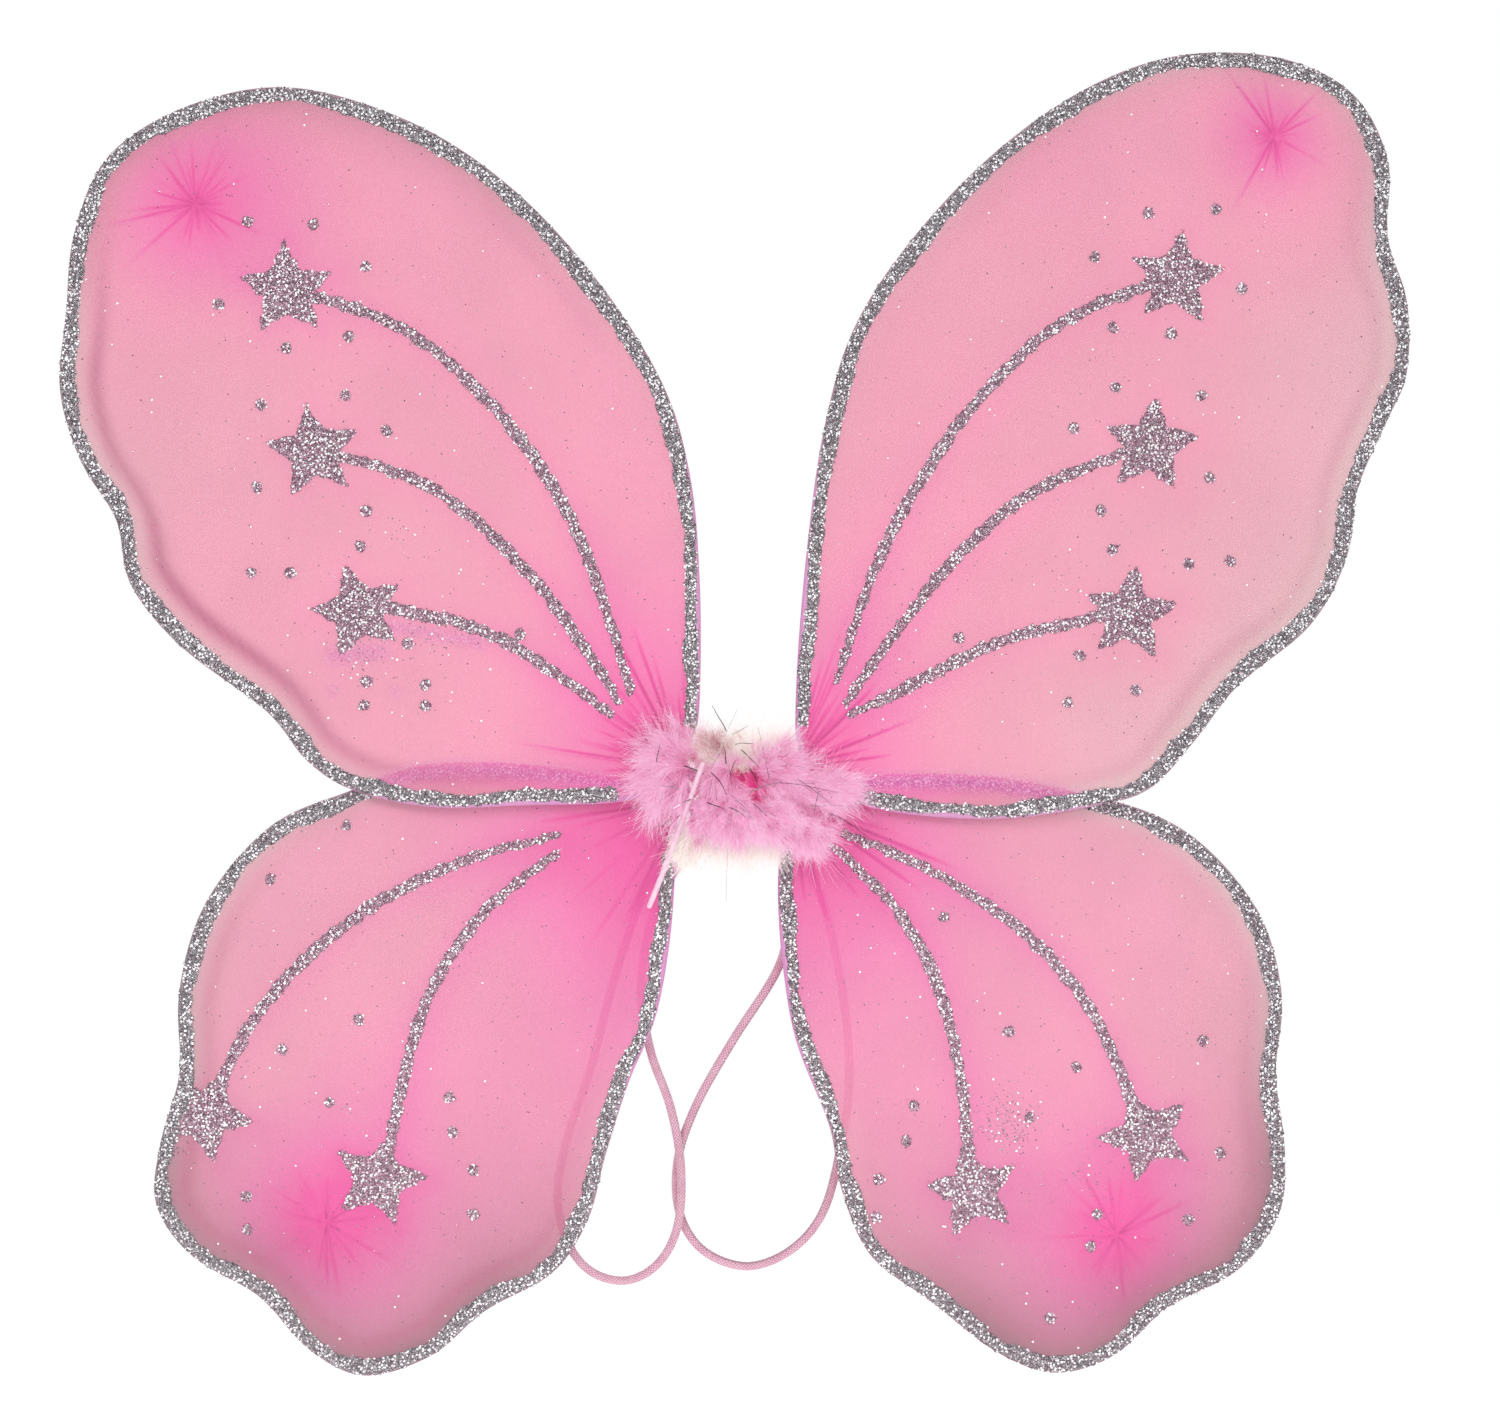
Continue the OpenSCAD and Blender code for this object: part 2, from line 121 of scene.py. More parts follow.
def add_lights():
    """Large soft lights for the nylon, and small bright ones that the glitter mirrors."""
    for name, (place, width, radiance) in SOFTBOXES.items():
        softbox(name, place, width, radiance)
    for i, (x, z) in enumerate(SPARKLE_PLACES):
        softbox(f"sparkle_{i}", (x, SPARKLE_Y, z), SPARKLE_WIDTH, SPARKLE_RADIANCE)


def add_world():
    """White behind the object; a graded grey room for everything that is lit or mirrored."""
    world = bpy.data.worlds.new("room")
    bpy.context.scene.world = world
    world.use_nodes = True
    tree = Nodes(world.node_tree)
    tree.tree.nodes.clear()
    split = tree.node("SeparateXYZ", {0: tree.node("TexCoord").outputs["Generated"]})
    up = tree.math("MULTIPLY_ADD", split.outputs["Z"], 0.5, 0.5)
    grade = tree.node("ValToRGB", {0: up})
    low, high = grade.color_ramp.elements
    low.position, low.color = 0.3, ROOM_LOW
    high.position, high.color = 0.8, ROOM_HIGH
    room = tree.node("Background", {"Color": grade.outputs[0], "Strength": ROOM_STRENGTH})
    white = tree.node("Background", {"Color": (1, 1, 1, 1)})
    seen = tree.node("LightPath").outputs["Is Camera Ray"]
    mixed = tree.node("MixShader", {0: seen, 1: room.outputs[0], 2: white.outputs[0]})
    tree.node("OutputWorld", {0: mixed.outputs[0]})
    bpy.context.scene.view_settings.view_transform = "Standard"


def add_floor():
    """A pale floor that fades into the white behind it."""
    w, z = FLOOR_HALF_W, cad_box[0][2] - FLOOR_DROP
    mesh = bpy.data.meshes.new("floor")
    mesh.from_pydata([(-w, -w, z), (w, -w, z), (w, w, z), (-w, w, z)], [], [(0, 1, 2, 3)])
    floor = bpy.data.objects.new("floor", mesh)
    bpy.context.scene.collection.objects.link(floor)
    s = Shader("pale_floor", roughness=0.9, emission_strength=0.45)
    s.set("Base Color", (0.9, 0.9, 0.9, 1))
    s.set("Emission Color", (1, 1, 1, 1))
    from_middle = s.node("VectorMath", {0: s.place()}, operation="LENGTH").outputs["Value"]
    s.link(s.grey_ramp(from_middle, 1.0, 0.0, *FLOOR_FADE), "Alpha")
    mesh.materials.append(s.material)


# ---------------------------------------------------------------- shaders
def linear(rgb):
    """An 8-bit screen colour as the shader's linear one."""
    c = np.asarray(rgb, float) / 255
    return np.where(c <= 0.04045, c / 12.92, ((c + 0.055) / 1.055) ** 2.4)


class Nodes:
    """A node tree that is built node by node."""

    def __init__(self, tree):
        self.tree = tree

    def node(self, kind, inputs=None, **settings):
        node = self.tree.nodes.new("ShaderNode" + kind)
        for key, value in settings.items():
            setattr(node, key, value)
        for socket, value in (inputs or {}).items():
            if isinstance(value, bpy.types.NodeSocket):
                self.tree.links.new(value, node.inputs[socket])
            else:
                node.inputs[socket].default_value = value
        return node

    def math(self, operation, a, b=0.0, c=0.0):
        return self.node("Math", {0: a, 1: b, 2: c}, operation=operation).outputs[0]


class Shader(Nodes):
    """A Principled material."""

    def __init__(self, name, **constants):
        self.material = bpy.data.materials.new(name)
        self.material.use_nodes = True
        super().__init__(self.material.node_tree)
        self.main = self.tree.nodes["Principled BSDF"]
        for key, value in constants.items():
            self.set(key.replace("_", " ").title().replace("Ior", "IOR"), value)

    def set(self, socket, value):
        self.main.inputs[socket].default_value = value

    def link(self, output, socket):
        self.tree.links.new(output, self.main.inputs[socket])

    def attribute(self, name, output="Fac"):
        return self.node("Attribute", attribute_name=name).outputs[output]

    def place(self):
        """The surface point in millimetres."""
        here = self.node("TexCoord").outputs["Object"]
        per_mm = (1 / MM,) * 3
        return self.node("VectorMath", {0: here, 1: per_mm}, operation="MULTIPLY").outputs[0]

    def noise(self, scale, detail=2.0):
        """Noise with blobs about 1 / scale millimetres across."""
        inputs = {"Vector": self.place(), "Scale": scale, "Detail": detail}
        return self.node("TexNoise", inputs).outputs["Fac"]

    def ramp(self, factor, stops):
        """A colour that runs through stops of (place, screen colour)."""
        node = self.node("ValToRGB", {0: factor})
        elements = node.color_ramp.elements
        elements.remove(elements[1])
        elements[0].position = stops[0][0]
        elements[0].color = (*linear(stops[0][1]), 1)
        for place, rgb in stops[1:]:
            elements.new(place).color = (*linear(rgb), 1)
        return node.outputs[0]

    def paint(self, factor, stops):
        """Makes the base colour a ramp over a factor, and returns it."""
        colour = self.ramp(factor, stops)
        self.link(colour, "Base Color")
        return colour

    def grey_ramp(self, factor, low, high, start=0.0, end=1.0):
        """A plain number from low to high while the factor runs from start to end."""
        inputs = {0: factor, 1: start, 2: end, 3: low, 4: high}
        return self.node("MapRange", inputs).outputs[0]

    def mix(self, factor, a, b, blend="MIX"):
        """Two colours mixed; each is another node's or a screen colour."""
        a, b = (v if isinstance(v, bpy.types.NodeSocket) else (*linear(v), 1) for v in (a, b))
        inputs = {0: factor, 6: a, 7: b}
        return self.node("Mix", inputs, data_type="RGBA", blend_type=blend).outputs[2]

    def bump(self, height, distance_mm, strength=1.0):
        inputs = {"Height": height, "Distance": distance_mm * MM, "Strength": strength}
        self.link(self.node("Bump", inputs).outputs[0], "Normal")


# ---------------------------------------------------------------- meshes and curves
def draw(name):
    """A steady source of random numbers for one piece."""
    return np.random.default_rng(zlib.crc32(name.encode()))


def add_values(mesh, values):
    """Named numbers or colours for each point of a mesh."""
    for key, value in values.items():
        value = np.asarray(value, np.float32)
        if value.ndim == 2:
            value = np.column_stack([value, np.ones(len(value), np.float32)])
            mesh.attributes.new(key, "FLOAT_COLOR", "POINT").data.foreach_set("color", value.ravel())
        else:
            mesh.attributes.new(key, "FLOAT", "POINT").data.foreach_set("value", value)


def make(name, points, faces, shader, slot, body=None, replaces=(), smooth=True, **values):
    """A mesh object from points in millimetres and arrays of faces, with named numbers per point."""
    groups = faces if isinstance(faces, list) else [faces]
    corners = np.concatenate([np.asarray(g).ravel() for g in groups]).astype(np.int32)
    sizes = np.concatenate([np.full(len(g), np.asarray(g).shape[1]) for g in groups])
    mesh = bpy.data.meshes.new(name)
    mesh.vertices.add(len(points))
    mesh.vertices.foreach_set("co", (np.asarray(points) * MM).astype(np.float32).ravel())
    mesh.loops.add(len(corners))
    mesh.loops.foreach_set("vertex_index", corners)
    mesh.polygons.add(len(sizes))
    mesh.polygons.foreach_set("loop_start", (np.cumsum(sizes) - sizes).astype(np.int32))
    mesh.update(calc_edges=True)
    mesh.polygons.foreach_set("use_smooth", np.full(len(sizes), smooth))
    add_values(mesh, values)
    obj = bpy.data.objects.new(name, mesh)
    bpy.context.scene.collection.objects.link(obj)
    mesh.materials.append(shader.material)
    if body:
        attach(obj, body)
    if replaces:
        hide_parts(*replaces)
    return obj


def unit(v):
    v = np.asarray(v, float)
    return v / np.maximum(np.linalg.norm(v, axis=-1, keepdims=True), 1e-9)


def clamp(v):
    return np.clip(v, 0, 1)


def far_from(points, centre):
    """How far each point is from a centre."""
    return np.linalg.norm(points - centre, axis=1)


def round_turn(sides):
    """Evenly spaced angles once round."""
    return 2 * np.pi * np.arange(sides) / sides


def squarish(turn, power):
    """A circle's cosine and sine pushed out to a rounded square; at a power of 1 it stays a circle."""
    c, s = np.cos(turn), np.sin(turn)
    return np.sign(c) * np.abs(c) ** power, np.sign(s) * np.abs(s) ** power


def circles(turn, u, v):
    """Points at angles on the circle of each pair of directions."""
    return np.cos(turn)[None, :, None] * u[:, None] + np.sin(turn)[None, :, None] * v[:, None]


def closed(loop):
    """A loop's points with the first one again at the end."""
    return np.vstack([loop, loop[:1]])


def along_line(line):
    """How far along a line each of its points is."""
    return np.concatenate([[0], np.cumsum(np.linalg.norm(np.diff(line, axis=0), axis=1))])


def smooth_curve(points, steps):
    """Catmull-Rom curve through a list of points."""
    p = np.asarray(points, float)
    before, after = np.vstack([p[:1], p[:-1]]), np.vstack([p[1:], p[-1:]])
    beyond = np.vstack([p[2:], p[-1:], p[-1:]])
    out = []
    for i in range(len(p) - 1):
        a, b, c, d = before[i], p[i], after[i], beyond[i]
        for t in np.arange(steps) / steps:
            out.append((2 * b + (c - a) * t + (2 * a - 5 * b + 4 * c - d) * t * t
                        + (3 * b - a - 3 * c + d) * t ** 3) / 2)
    return np.array(out + [p[-1]])


def resample(line, spacing):
    """The same line with evenly spaced points."""
    line = np.asarray(line, float)
    along = along_line(line)
    count = max(2, int(round(along[-1] / spacing)) + 1)
    where = np.linspace(0, along[-1], count)
    return np.column_stack([np.interp(where, along, line[:, k]) for k in range(line.shape[1])])


def distance_to(points, line):
    """How far each flat point is from a flat line."""
    best = np.full(len(points), np.inf)
    for a, b in zip(line[:-1], line[1:]):
        ab = b - a
        t = clamp(((points - a) @ ab) / max(ab @ ab, 1e-9))
        away = points - a - t[:, None] * ab
        np.minimum(best, np.einsum("ij,ij->i", away, away), out=best)
    return np.sqrt(best)


def inside(points, loop):
    """Which flat points lie inside a closed loop."""
    x, z = points[:, 0], points[:, 1]
    result = np.zeros(len(points), bool)
    for (ax, az), (bx, bz) in zip(loop, np.roll(loop, -1, 0)):
        if az != bz:
            result ^= ((az > z) != (bz > z)) & (x < (bx - ax) * (z - az) / (bz - az) + ax)
    return result


def well_inside(points, loop, margin):
    """The points that lie inside a closed loop by more than a margin."""
    points = points[inside(points, loop)]
    return points[distance_to(points, closed(loop)) > margin]


def area_of(loop):
    x, z = loop[:, 0], loop[:, 1]
    return float((x * np.roll(z, -1) - np.roll(x, -1) * z).sum() / 2)


def hex_grid(low, high, spacing):
    rows = np.arange(low[1], high[1], spacing * 0.866)
    columns = np.arange(low[0], high[0], spacing)
    x, z = np.meshgrid(columns, rows)
    x[1::2] += spacing / 2
    return np.column_stack([x.ravel(), z.ravel()])


def fill(loop, inner):
    """Points and triangles over the area inside a closed loop; the loop's own points come first."""
    count = len(loop)
    everything = [Vector(p) for p in np.vstack([loop, inner])]
    result = delaunay_2d_cdt(everything, [], [list(range(count))], 1, 1e-5)
    points, faces, origin = np.array([tuple(v) for v in result[0]]), result[2], result[3]
    order = [min(o) if o else len(everything) for o in origin]
    rank = np.argsort(order, kind="stable")
    place = np.empty(len(rank), int)
    place[rank] = np.arange(len(rank))
    triangles = place[np.array([f for f in faces if len(f) == 3])]
    return points[rank], triangles


def skin(rings, sides):
    """Faces between the rings of a tube-like mesh, each of so many sides."""
    rows, k = np.arange(rings - 1)[:, None] * sides, np.arange(sides)[None]
    a, b = (rows + k).ravel(), (rows + (k + 1) % sides).ravel()
    return np.column_stack([a, b, b + sides, a + sides])


def tube(line, radius, sides=12, capped=True):
    """Points, faces and (along, around) of a round tube; its ends are closed by small domes."""
    line = np.asarray(line, float)
    radius = np.broadcast_to(np.asarray(radius, float), (len(line),)).copy()
    ahead = unit(np.gradient(line, axis=0))
    if capped:
        r = radius[0]
        front = [line[0] - ahead[0] * r * math.sin(a) for a in np.radians([80, 50, 25])]
        back = [line[-1] + ahead[-1] * r * math.sin(a) for a in np.radians([25, 50, 80])]
        shrink = np.cos(np.radians([80, 50, 25]))
        line = np.vstack([front, line, back])
        radius = np.concatenate([shrink * r, radius, shrink[::-1] * radius[-1]])
        ahead = np.vstack([[ahead[0]] * 3, ahead, [ahead[-1]] * 3])
    side = unit(np.cross(ahead[0], [0.31, 0.2, 0.93]))
    across = []
    for a in ahead:
        side = unit(side - a * (side @ a))
        across.append(side)
    u = np.array(across)
    v = np.cross(ahead, u)
    turn = round_turn(sides)
    points = (line[:, None] + radius[:, None, None] * circles(turn, u, v)).reshape(-1, 3)
    faces = [skin(len(line), sides)]
    if capped:
        last = (len(line) - 1) * sides
        faces += [np.arange(sides)[None, ::-1], (last + np.arange(sides))[None]]
    around = np.tile(turn / (2 * np.pi), len(line))
    return points, faces, np.repeat(along_line(line), sides), around


def make_tube(name, line, radius, sides, shader, slot, body, replaces, capped=True):
    points, faces, along, around = tube(line, radius, sides, capped)
    return make(name, points, faces, shader, slot, body, replaces, along=along, around=around)


def joined(parts):
    """Several (points, face groups) as one."""
    points, faces, start = [], [], 0
    for p, groups in parts:
        points.append(p)
        faces += [np.asarray(g) + start for g in (groups if isinstance(groups, list) else [groups])]
        start += len(p)
    return np.vstack(points), faces


def waves(points, scale, source):
    """Smooth random heights, about -1 to 1, that change over about scale millimetres."""
    total, count = np.zeros(len(points)), 14
    for _ in range(count):
        turn, phase = source.uniform(0, 2 * np.pi, 2)
        pitch = 3 * source.uniform(0.6, 1.6) / scale
        across = points[:, 0] * math.cos(turn) + points[:, 1] * math.sin(turn)
        total += np.sin(across * pitch + phase)
    return total / math.sqrt(count) / 1.5


def box_mm(node):
    """A CAD node's middle and half size in millimetres."""
    low, high = (np.array(v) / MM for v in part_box(node))
    return (low + high) / 2, (high - low) / 2


def stars_of(wing):
    return [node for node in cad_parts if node.startswith(f"{wing.name}_star")]


def chains(ahead):
    """The closed chains in a table that says which point follows each point."""
    while ahead:
        start, here = next(iter(ahead.items()))
        chain = [start]
        del ahead[start]
        while here != start and here in ahead:
            chain.append(here)
            here = ahead.pop(here)
        yield chain


def front_outlines(node):
    """The closed outlines of a flat CAD node's front face, [x, z] in millimetres, the widest first.

    They all run the same way round, so their areas are positive."""
    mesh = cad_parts[node].data
    mesh.calc_loop_triangles()
    places = np.array([v.co for v in mesh.vertices]) / MM
    triangles = np.array([t.vertices for t in mesh.loop_triangles])
    on_front = (places[:, 1] < places[:, 1].min() + 0.01)[triangles].all(1)
    unique, which = np.unique(np.round(places[:, [0, 2]], 3), axis=0, return_inverse=True)
    which = which.ravel()
    pairs = set()
    for t in which[triangles[on_front]]:
        pairs |= {(t[0], t[1]), (t[1], t[2]), (t[2], t[0])}
    loops = [unique[chain] for chain in chains({a: b for a, b in pairs if (b, a) not in pairs})]
    loops = [p if area_of(p) > 0 else p[::-1] for p in loops if len(p) > 2]
    return sorted(loops, key=lambda p: -area_of(p))


# ---------------------------------------------------------------- arm loops: the free cords
LEFT_LOOP_ROUTE = [
    (-8.6, -3, -14), (-10.5, -1.5, -17.5), (-18, 0.5, -24.5), (-28, 0.5, -42), (-33, 0.5, -67),
    (-30, 0.5, -90), (-23, 0.5, -110), (-19.5, 0.5, -130), (-20.5, 0.5, -150), (-27, 0.5, -163),
    (-38, 0.5, -169), (-50, 0.5, -166), (-58, 0.5, -156), (-61.5, 0.5, -140), (-58, 0.5, -120),
    (-50, 0.5, -96), (-41.5, 0.5, -64), (-32, 0.5, -37), (-22, 0.5, -21.5), (-14.5, -1, -16.5),
    (-11.8, -3, -14)]
RIGHT_LOOP_ROUTE = [
    (8.4, -3, -14), (10.5, 0, -18), (16.5, 3.4, -25), (18, 4.2, -41), (14, 4.2, -62), (-1.5, 4.2, -87),
    (-14, 4.2, -109), (-20.5, 4.2, -128), (-20, 4.2, -146), (-12, 4.2, -159), (3, 4.2, -164.5),
    (18, 4.2, -159), (29, 4.2, -146), (35, 4.2, -124), (38, 4.2, -100), (36, 4.2, -73),
    (30, 4.2, -43), (22.5, 3.4, -24.5), (15.5, 0, -16.5), (11.6, -3, -14)]
ELASTIC_D = 3.0
# A knot's size, and its cord's radius where it is pulled tight
KNOT_SIZE, KNOT_R = 0.82, 1.35


def elastic():
    """Round braided elastic: fine diagonal ridges and a dusty pink, with painted shade that greys its
    grooves.
    """
    s = Shader("elastic", roughness=0.62, sheen_weight=0.35, sheen_roughness=0.4)
    along, around = s.attribute("along"), s.attribute("around")
    turn = s.math("MULTIPLY", around, 16 * math.pi)
    right = s.math("SINE", s.math("MULTIPLY_ADD", along, 5.0, turn))
    left = s.math("SINE", s.math("MULTIPLY_ADD", along, -5.0, turn))
    braid = s.math("MAXIMUM", right, left)
    worn = s.noise(0.25, 3)
    # The braid's grooves are painted darker, painted shade; worn adds a random tone
    s.paint(s.math("MULTIPLY_ADD", worn, 0.5, s.grey_ramp(braid, 0.0, 0.5, -0.5, 1.0)),
            [(0.1, (186, 124, 146)), (0.45, (222, 164, 186)), (0.9, (240, 200, 214))])
    s.bump(braid, 0.25, 0.7)
    return s


def knot_curve(centre, size):
    """A trefoil: the knot that a cord makes when it's tied in itself."""
    t = np.linspace(0, 2 * np.pi, 121)
    wide, tall = np.sin(t) + 2 * np.sin(2 * t), np.cos(t) - 2 * np.cos(2 * t)
    return np.asarray(centre) + np.column_stack([0.9 * np.sin(3 * t), wide, tall]) * size


def add_arm_loop(side, route, shader):
    line = resample(smooth_curve(route, 10), 1.0)
    body = f"{side}_arm_loop"
    centre = box_mm(f"loop_knot_{side}")[0]
    knot = make_tube(f"elastic_knot_{side}", knot_curve(centre, KNOT_SIZE), KNOT_R, 12, shader,
                     "elastic", body, [f"loop_knot_{side}"], capped=False)
    loop = make_tube(f"elastic_loop_{side}", line, ELASTIC_D / 2, 16, shader,
                     "elastic", body, [f"arm_loop_{side}"])


add_camera()
add_lights()
add_world()
add_floor()
elastic_shader = elastic()
add_arm_loop("left", LEFT_LOOP_ROUTE, elastic_shader)
add_arm_loop("right", RIGHT_LOOP_ROUTE, elastic_shader)


# ---------------------------------------------------------------- wing geometry
# The rim's radius over the wire, how deep the nylon sinks inside it, and the width of the edge's glitter
RIM_R, SAG, EDGE_W = 1.5, 0.5, 5.0


class Wing:
    """One wing's outline, plane and surface, all from its CAD nodes."""

    def __init__(self, name):
        self.name = name
        self.hand = HANDS[name.split("_")[1]]
        self.body = f"{name}_wing"
        self.plane = -box_mm(f"{name}_wire")[0][1]
        self.neck = box_mm(f"{name}_neck_tie")[0][[0, 2]]
        self.tip = box_mm(f"{name}_tip_tie")[0][[0, 2]]
        loop = front_outlines(f"{name}_cover")[0]
        near = np.abs(loop[:, 0]) < abs(self.neck[0])
        near &= np.abs(loop[:, 1] - self.neck[1]) < 3.5
        corner = np.flatnonzero(near)
        start = next(i for i in corner if (i - 1) % len(loop) in corner)
        line = np.roll(loop, -start, 0)
        self.edge = resample(smooth_curve(line, 5), 1.4)
        ahead = unit(np.gradient(self.edge, axis=0))
        self.inward = np.column_stack([-ahead[:, 1], ahead[:, 0]])

    def inset(self, distance):
        return self.edge + self.inward * distance

    def sides(self, points, edge_away=None):
        """Height of the front and the back nylon above the wing's middle plane at flat points."""
        away = distance_to(points, self.edge) if edge_away is None else edge_away
        rim = np.sqrt(np.maximum(RIM_R ** 2 - (RIM_R - np.minimum(away, RIM_R)) ** 2, 0))
        sunk = SAG * (1 - np.exp(-np.maximum(away - RIM_R, 0) / 9))
        tip_r = far_from(points, self.tip)
        dimple = 1.5 * np.exp(-(tip_r / 3.0) ** 1.2) + 0.35 * np.exp(-(tip_r / 12.0) ** 2)
        folds = self.folds(points) * clamp((away - RIM_R) / 6)
        return rim - sunk - dimple + folds, rim - sunk + 0.8 * dimple - folds * 0.7

    def rays(self):
        """Random folds: start point, direction, length, width there, widening and height of each."""
        source = draw(self.name + "_folds")
        rays = []
        for k in range(46):
            turn = (k + source.uniform(-0.4, 0.4)) * 2 * np.pi / 46
            length = source.choice([9, 14, 21, 32], p=[0.3, 0.3, 0.25, 0.15]) * source.uniform(0.7, 1.2)
            rays.append((self.tip, turn, length, 0.22, 0.02, source.uniform(-0.3, 0.12)))
        middle = np.arctan2(*(np.mean(self.edge, axis=0) - self.neck)[::-1])
        for k in range(42):
            turn = middle + (k - 20.5) / 21 * 0.95 + source.normal(0, 0.025)
            length = source.choice([24, 36, 56], p=[0.4, 0.4, 0.2]) * source.uniform(0.7, 1.2)
            rays.append((self.neck, turn, length, 0.2, 0.008, source.uniform(-0.5, 0.16)))
        return rays

    def folds(self, points):
        total = np.zeros(len(points))
        for start, turn, length, width, widening, height in self.rays():
            ahead = np.array([math.cos(turn), math.sin(turn)])
            along = (points - start) @ ahead
            across = (points - start) @ np.array([-ahead[1], ahead[0]])
            spread = width + widening * np.maximum(along, 0)
            fade = clamp(along / 2.5) * clamp(1 - along / length)
            total += height * fade * np.exp(-(across / spread) ** 2)
        return total

    def front(self, points):
        """Depth y of the nylon's front at flat points."""
        return -self.plane - self.sides(points)[0]


wings = {name: Wing(name) for name in WINGS}


# ---------------------------------------------------------------- nylon covers
def nylon():
    """Sheer knitted nylon: a tight mesh that lets light through, dyed pink, darker where it gathers; its
    colour also carries painted shade.
    """
    s = Shader("sheer_nylon", roughness=0.55, sheen_weight=0.25, sheen_roughness=0.35,
               specular_ior_level=0.3)
    s.set("Sheen Tint", (1.0, 0.75, 0.88, 1))
    place = s.place()
    rows = s.node("TexWave", {"Vector": place, "Scale": 0.62, "Distortion": 1.2, "Detail": 1.0,
                              "Detail Scale": 0.5}, bands_direction="DIAGONAL").outputs["Fac"]
    knit = s.node("TexVoronoi", {"Vector": place, "Scale": 2.2}).outputs["Distance"]
    cloud = s.noise(0.03, 3)
    weave = s.math("ADD", s.math("MULTIPLY", rows, 0.4), s.math("MULTIPLY", knit, 0.6))
    shade = s.grey_ramp(cloud, 0.97, 1.02, 0.35, 0.65)
    shade = s.math("MULTIPLY", shade, s.grey_ramp(weave, 0.95, 1.04))
    # The dye attribute: the dye's colour with painted shade and a painted shadow worked in
    tint = s.node("VectorMath", {0: s.attribute("dye", "Color"), 1: shade}, operation="MULTIPLY")
    speck = s.node("TexVoronoi", {"Vector": place, "Scale": 2.6}).outputs["Color"]
    speck = s.node("SeparateColor", {0: speck}).outputs[0]
    # Glitter seen through the front nylon: lavender, with painted glints in its brightest cells
    glint = s.ramp(speck, [(0.0, (206, 96, 164)), (0.6, (224, 124, 186)), (0.95, (252, 190, 226))])
    s.link(s.mix(s.attribute("glitter_behind"), tint.outputs[0], glint), "Base Color")
    thread = s.grey_ramp(weave, -0.07, 0.07)
    s.link(s.math("ADD", s.attribute("cover"), thread), "Alpha")
    s.bump(weave, 0.12, 0.5)
    return s


DYE_STOPS = [(0.0, (234, 188, 194)), (0.3, (242, 164, 186)), (0.5, (248, 158, 188)),
             (0.72, (249, 136, 188)), (1.0, (252, 102, 176))]
# The colour of a darker line about 11 mm inside the edge
INNER_LINE_COLOUR = (186, 82, 122)
# The colours of the painted shade beside the edge's glitter, on the upper and on the lower wings
SHADE_COLOUR = {"upper": (196, 64, 124), "lower": (156, 84, 108)}
# The nylon over the wire: by the middle, and far out, where the glitter has run over it
WIRE_COLOURS = ((212, 164, 212), (164, 152, 160))
# The lower wings' own tone; edge_shade also darkens them toward the bottom, as painted shade
LOWER_TONE = (0.93, 0.975, 0.96)
TIP_REACH = {"upper_left": 38.0, "upper_right": 27.0, "lower_left": 30.0, "lower_right": 30.0}
# How strongly the nylon darkens by the edge's glitter: painted shade at the top and at the bottom, and a
# darker line along the inside
EDGE_SHADE = {"upper_left": (0.6, 0.1, 0.65), "upper_right": (0.25, 0.0, 0.3),
              "lower_left": (0.1, 1.0, 0.6), "lower_right": (0.0, 1.0, 0.2)}


def nylon_look(wing, points, away):
    """The dye's colour and one layer's cover at flat points of a wing; the colour also holds painted
    shade in the creases, beside the edge's glitter and toward the lower wings' bottoms, and a painted
    shadow beside the glue.
    """
    root_r = far_from(points, wing.neck)
    tip_r = far_from(points, wing.tip)
    reach = np.abs(points[:, 0] - wing.neck[0])
    lower, left = wing.name.startswith("lower"), wing.hand < 0
    drift = waves(points, 55, draw(wing.name + "_dye"))
    tip = np.exp(-(tip_r / TIP_REACH[wing.name]) ** 1.3)
    root = np.exp(-(root_r / (66.0 if lower else 56.0)) ** 1.5)
    body = 0.14 * clamp(1 - reach / 210) + 0.05 * drift
    if lower:
        body += 0.07 + (0.14 if left else 0.02) * np.exp(-(reach / 45) ** 2)
    else:
        body += 0.2 * inside(points, wings[wing.name.replace("upper", "lower")].edge)
    pale = clamp((reach - 120) / 90) * (0.1 if left else 0.2)
    if not left:
        pale += 0.2 * clamp(reach / 110) * clamp(1 - np.abs(points[:, 1] - 20) / 80)
    rim = np.exp(-np.maximum(away - 5, 0) / 3.5) * clamp(reach / 70)
    # Deeper pink beside the glue: partly the nylon drawn together, partly a painted shadow
    shadow_and_pull = 0.12 * glue_shadow_and_pull(wing, points)
    strength = 0.29 + body + 0.7 * tip + 0.5 * root - 0.3 * rim - pale + shadow_and_pull
    # Where the nylon is folded the dye is deepened, and below it is darkened too: painted shade in the
    # creases
    crease = np.abs(wing.folds(points)) * np.clip(3.6 * tip + 7.5 * root, 0, 6)
    strength = clamp(strength + np.clip(crease, 0, 0.45))
    places, colours = [p for p, _ in DYE_STOPS], linear([c for _, c in DYE_STOPS])
    dye = np.column_stack([np.interp(strength, places, colours[:, k]) for k in range(3)])
    dye *= (1 - 0.32 * clamp(crease))[:, None]
    dye = edge_shade(wing, points, away, reach, drift, tip, dye)
    wire, far = clamp(2.2 - away)[:, None], clamp(root_r / 40 - 2.2)[:, None]
    wire_dye = linear(WIRE_COLOURS[0]) * (1 - far) + linear(WIRE_COLOURS[1]) * far
    dye = dye * (1 - wire) + wire_dye * wire
    cover = 0.68 + 0.08 * clamp(strength * 1.3) + 0.14 * clamp(root + tip - 0.3)
    return dye, np.clip(cover + 0.3 * wire[:, 0] + 0.25 * np.clip(crease, 0, 0.6), 0.3, 0.95)


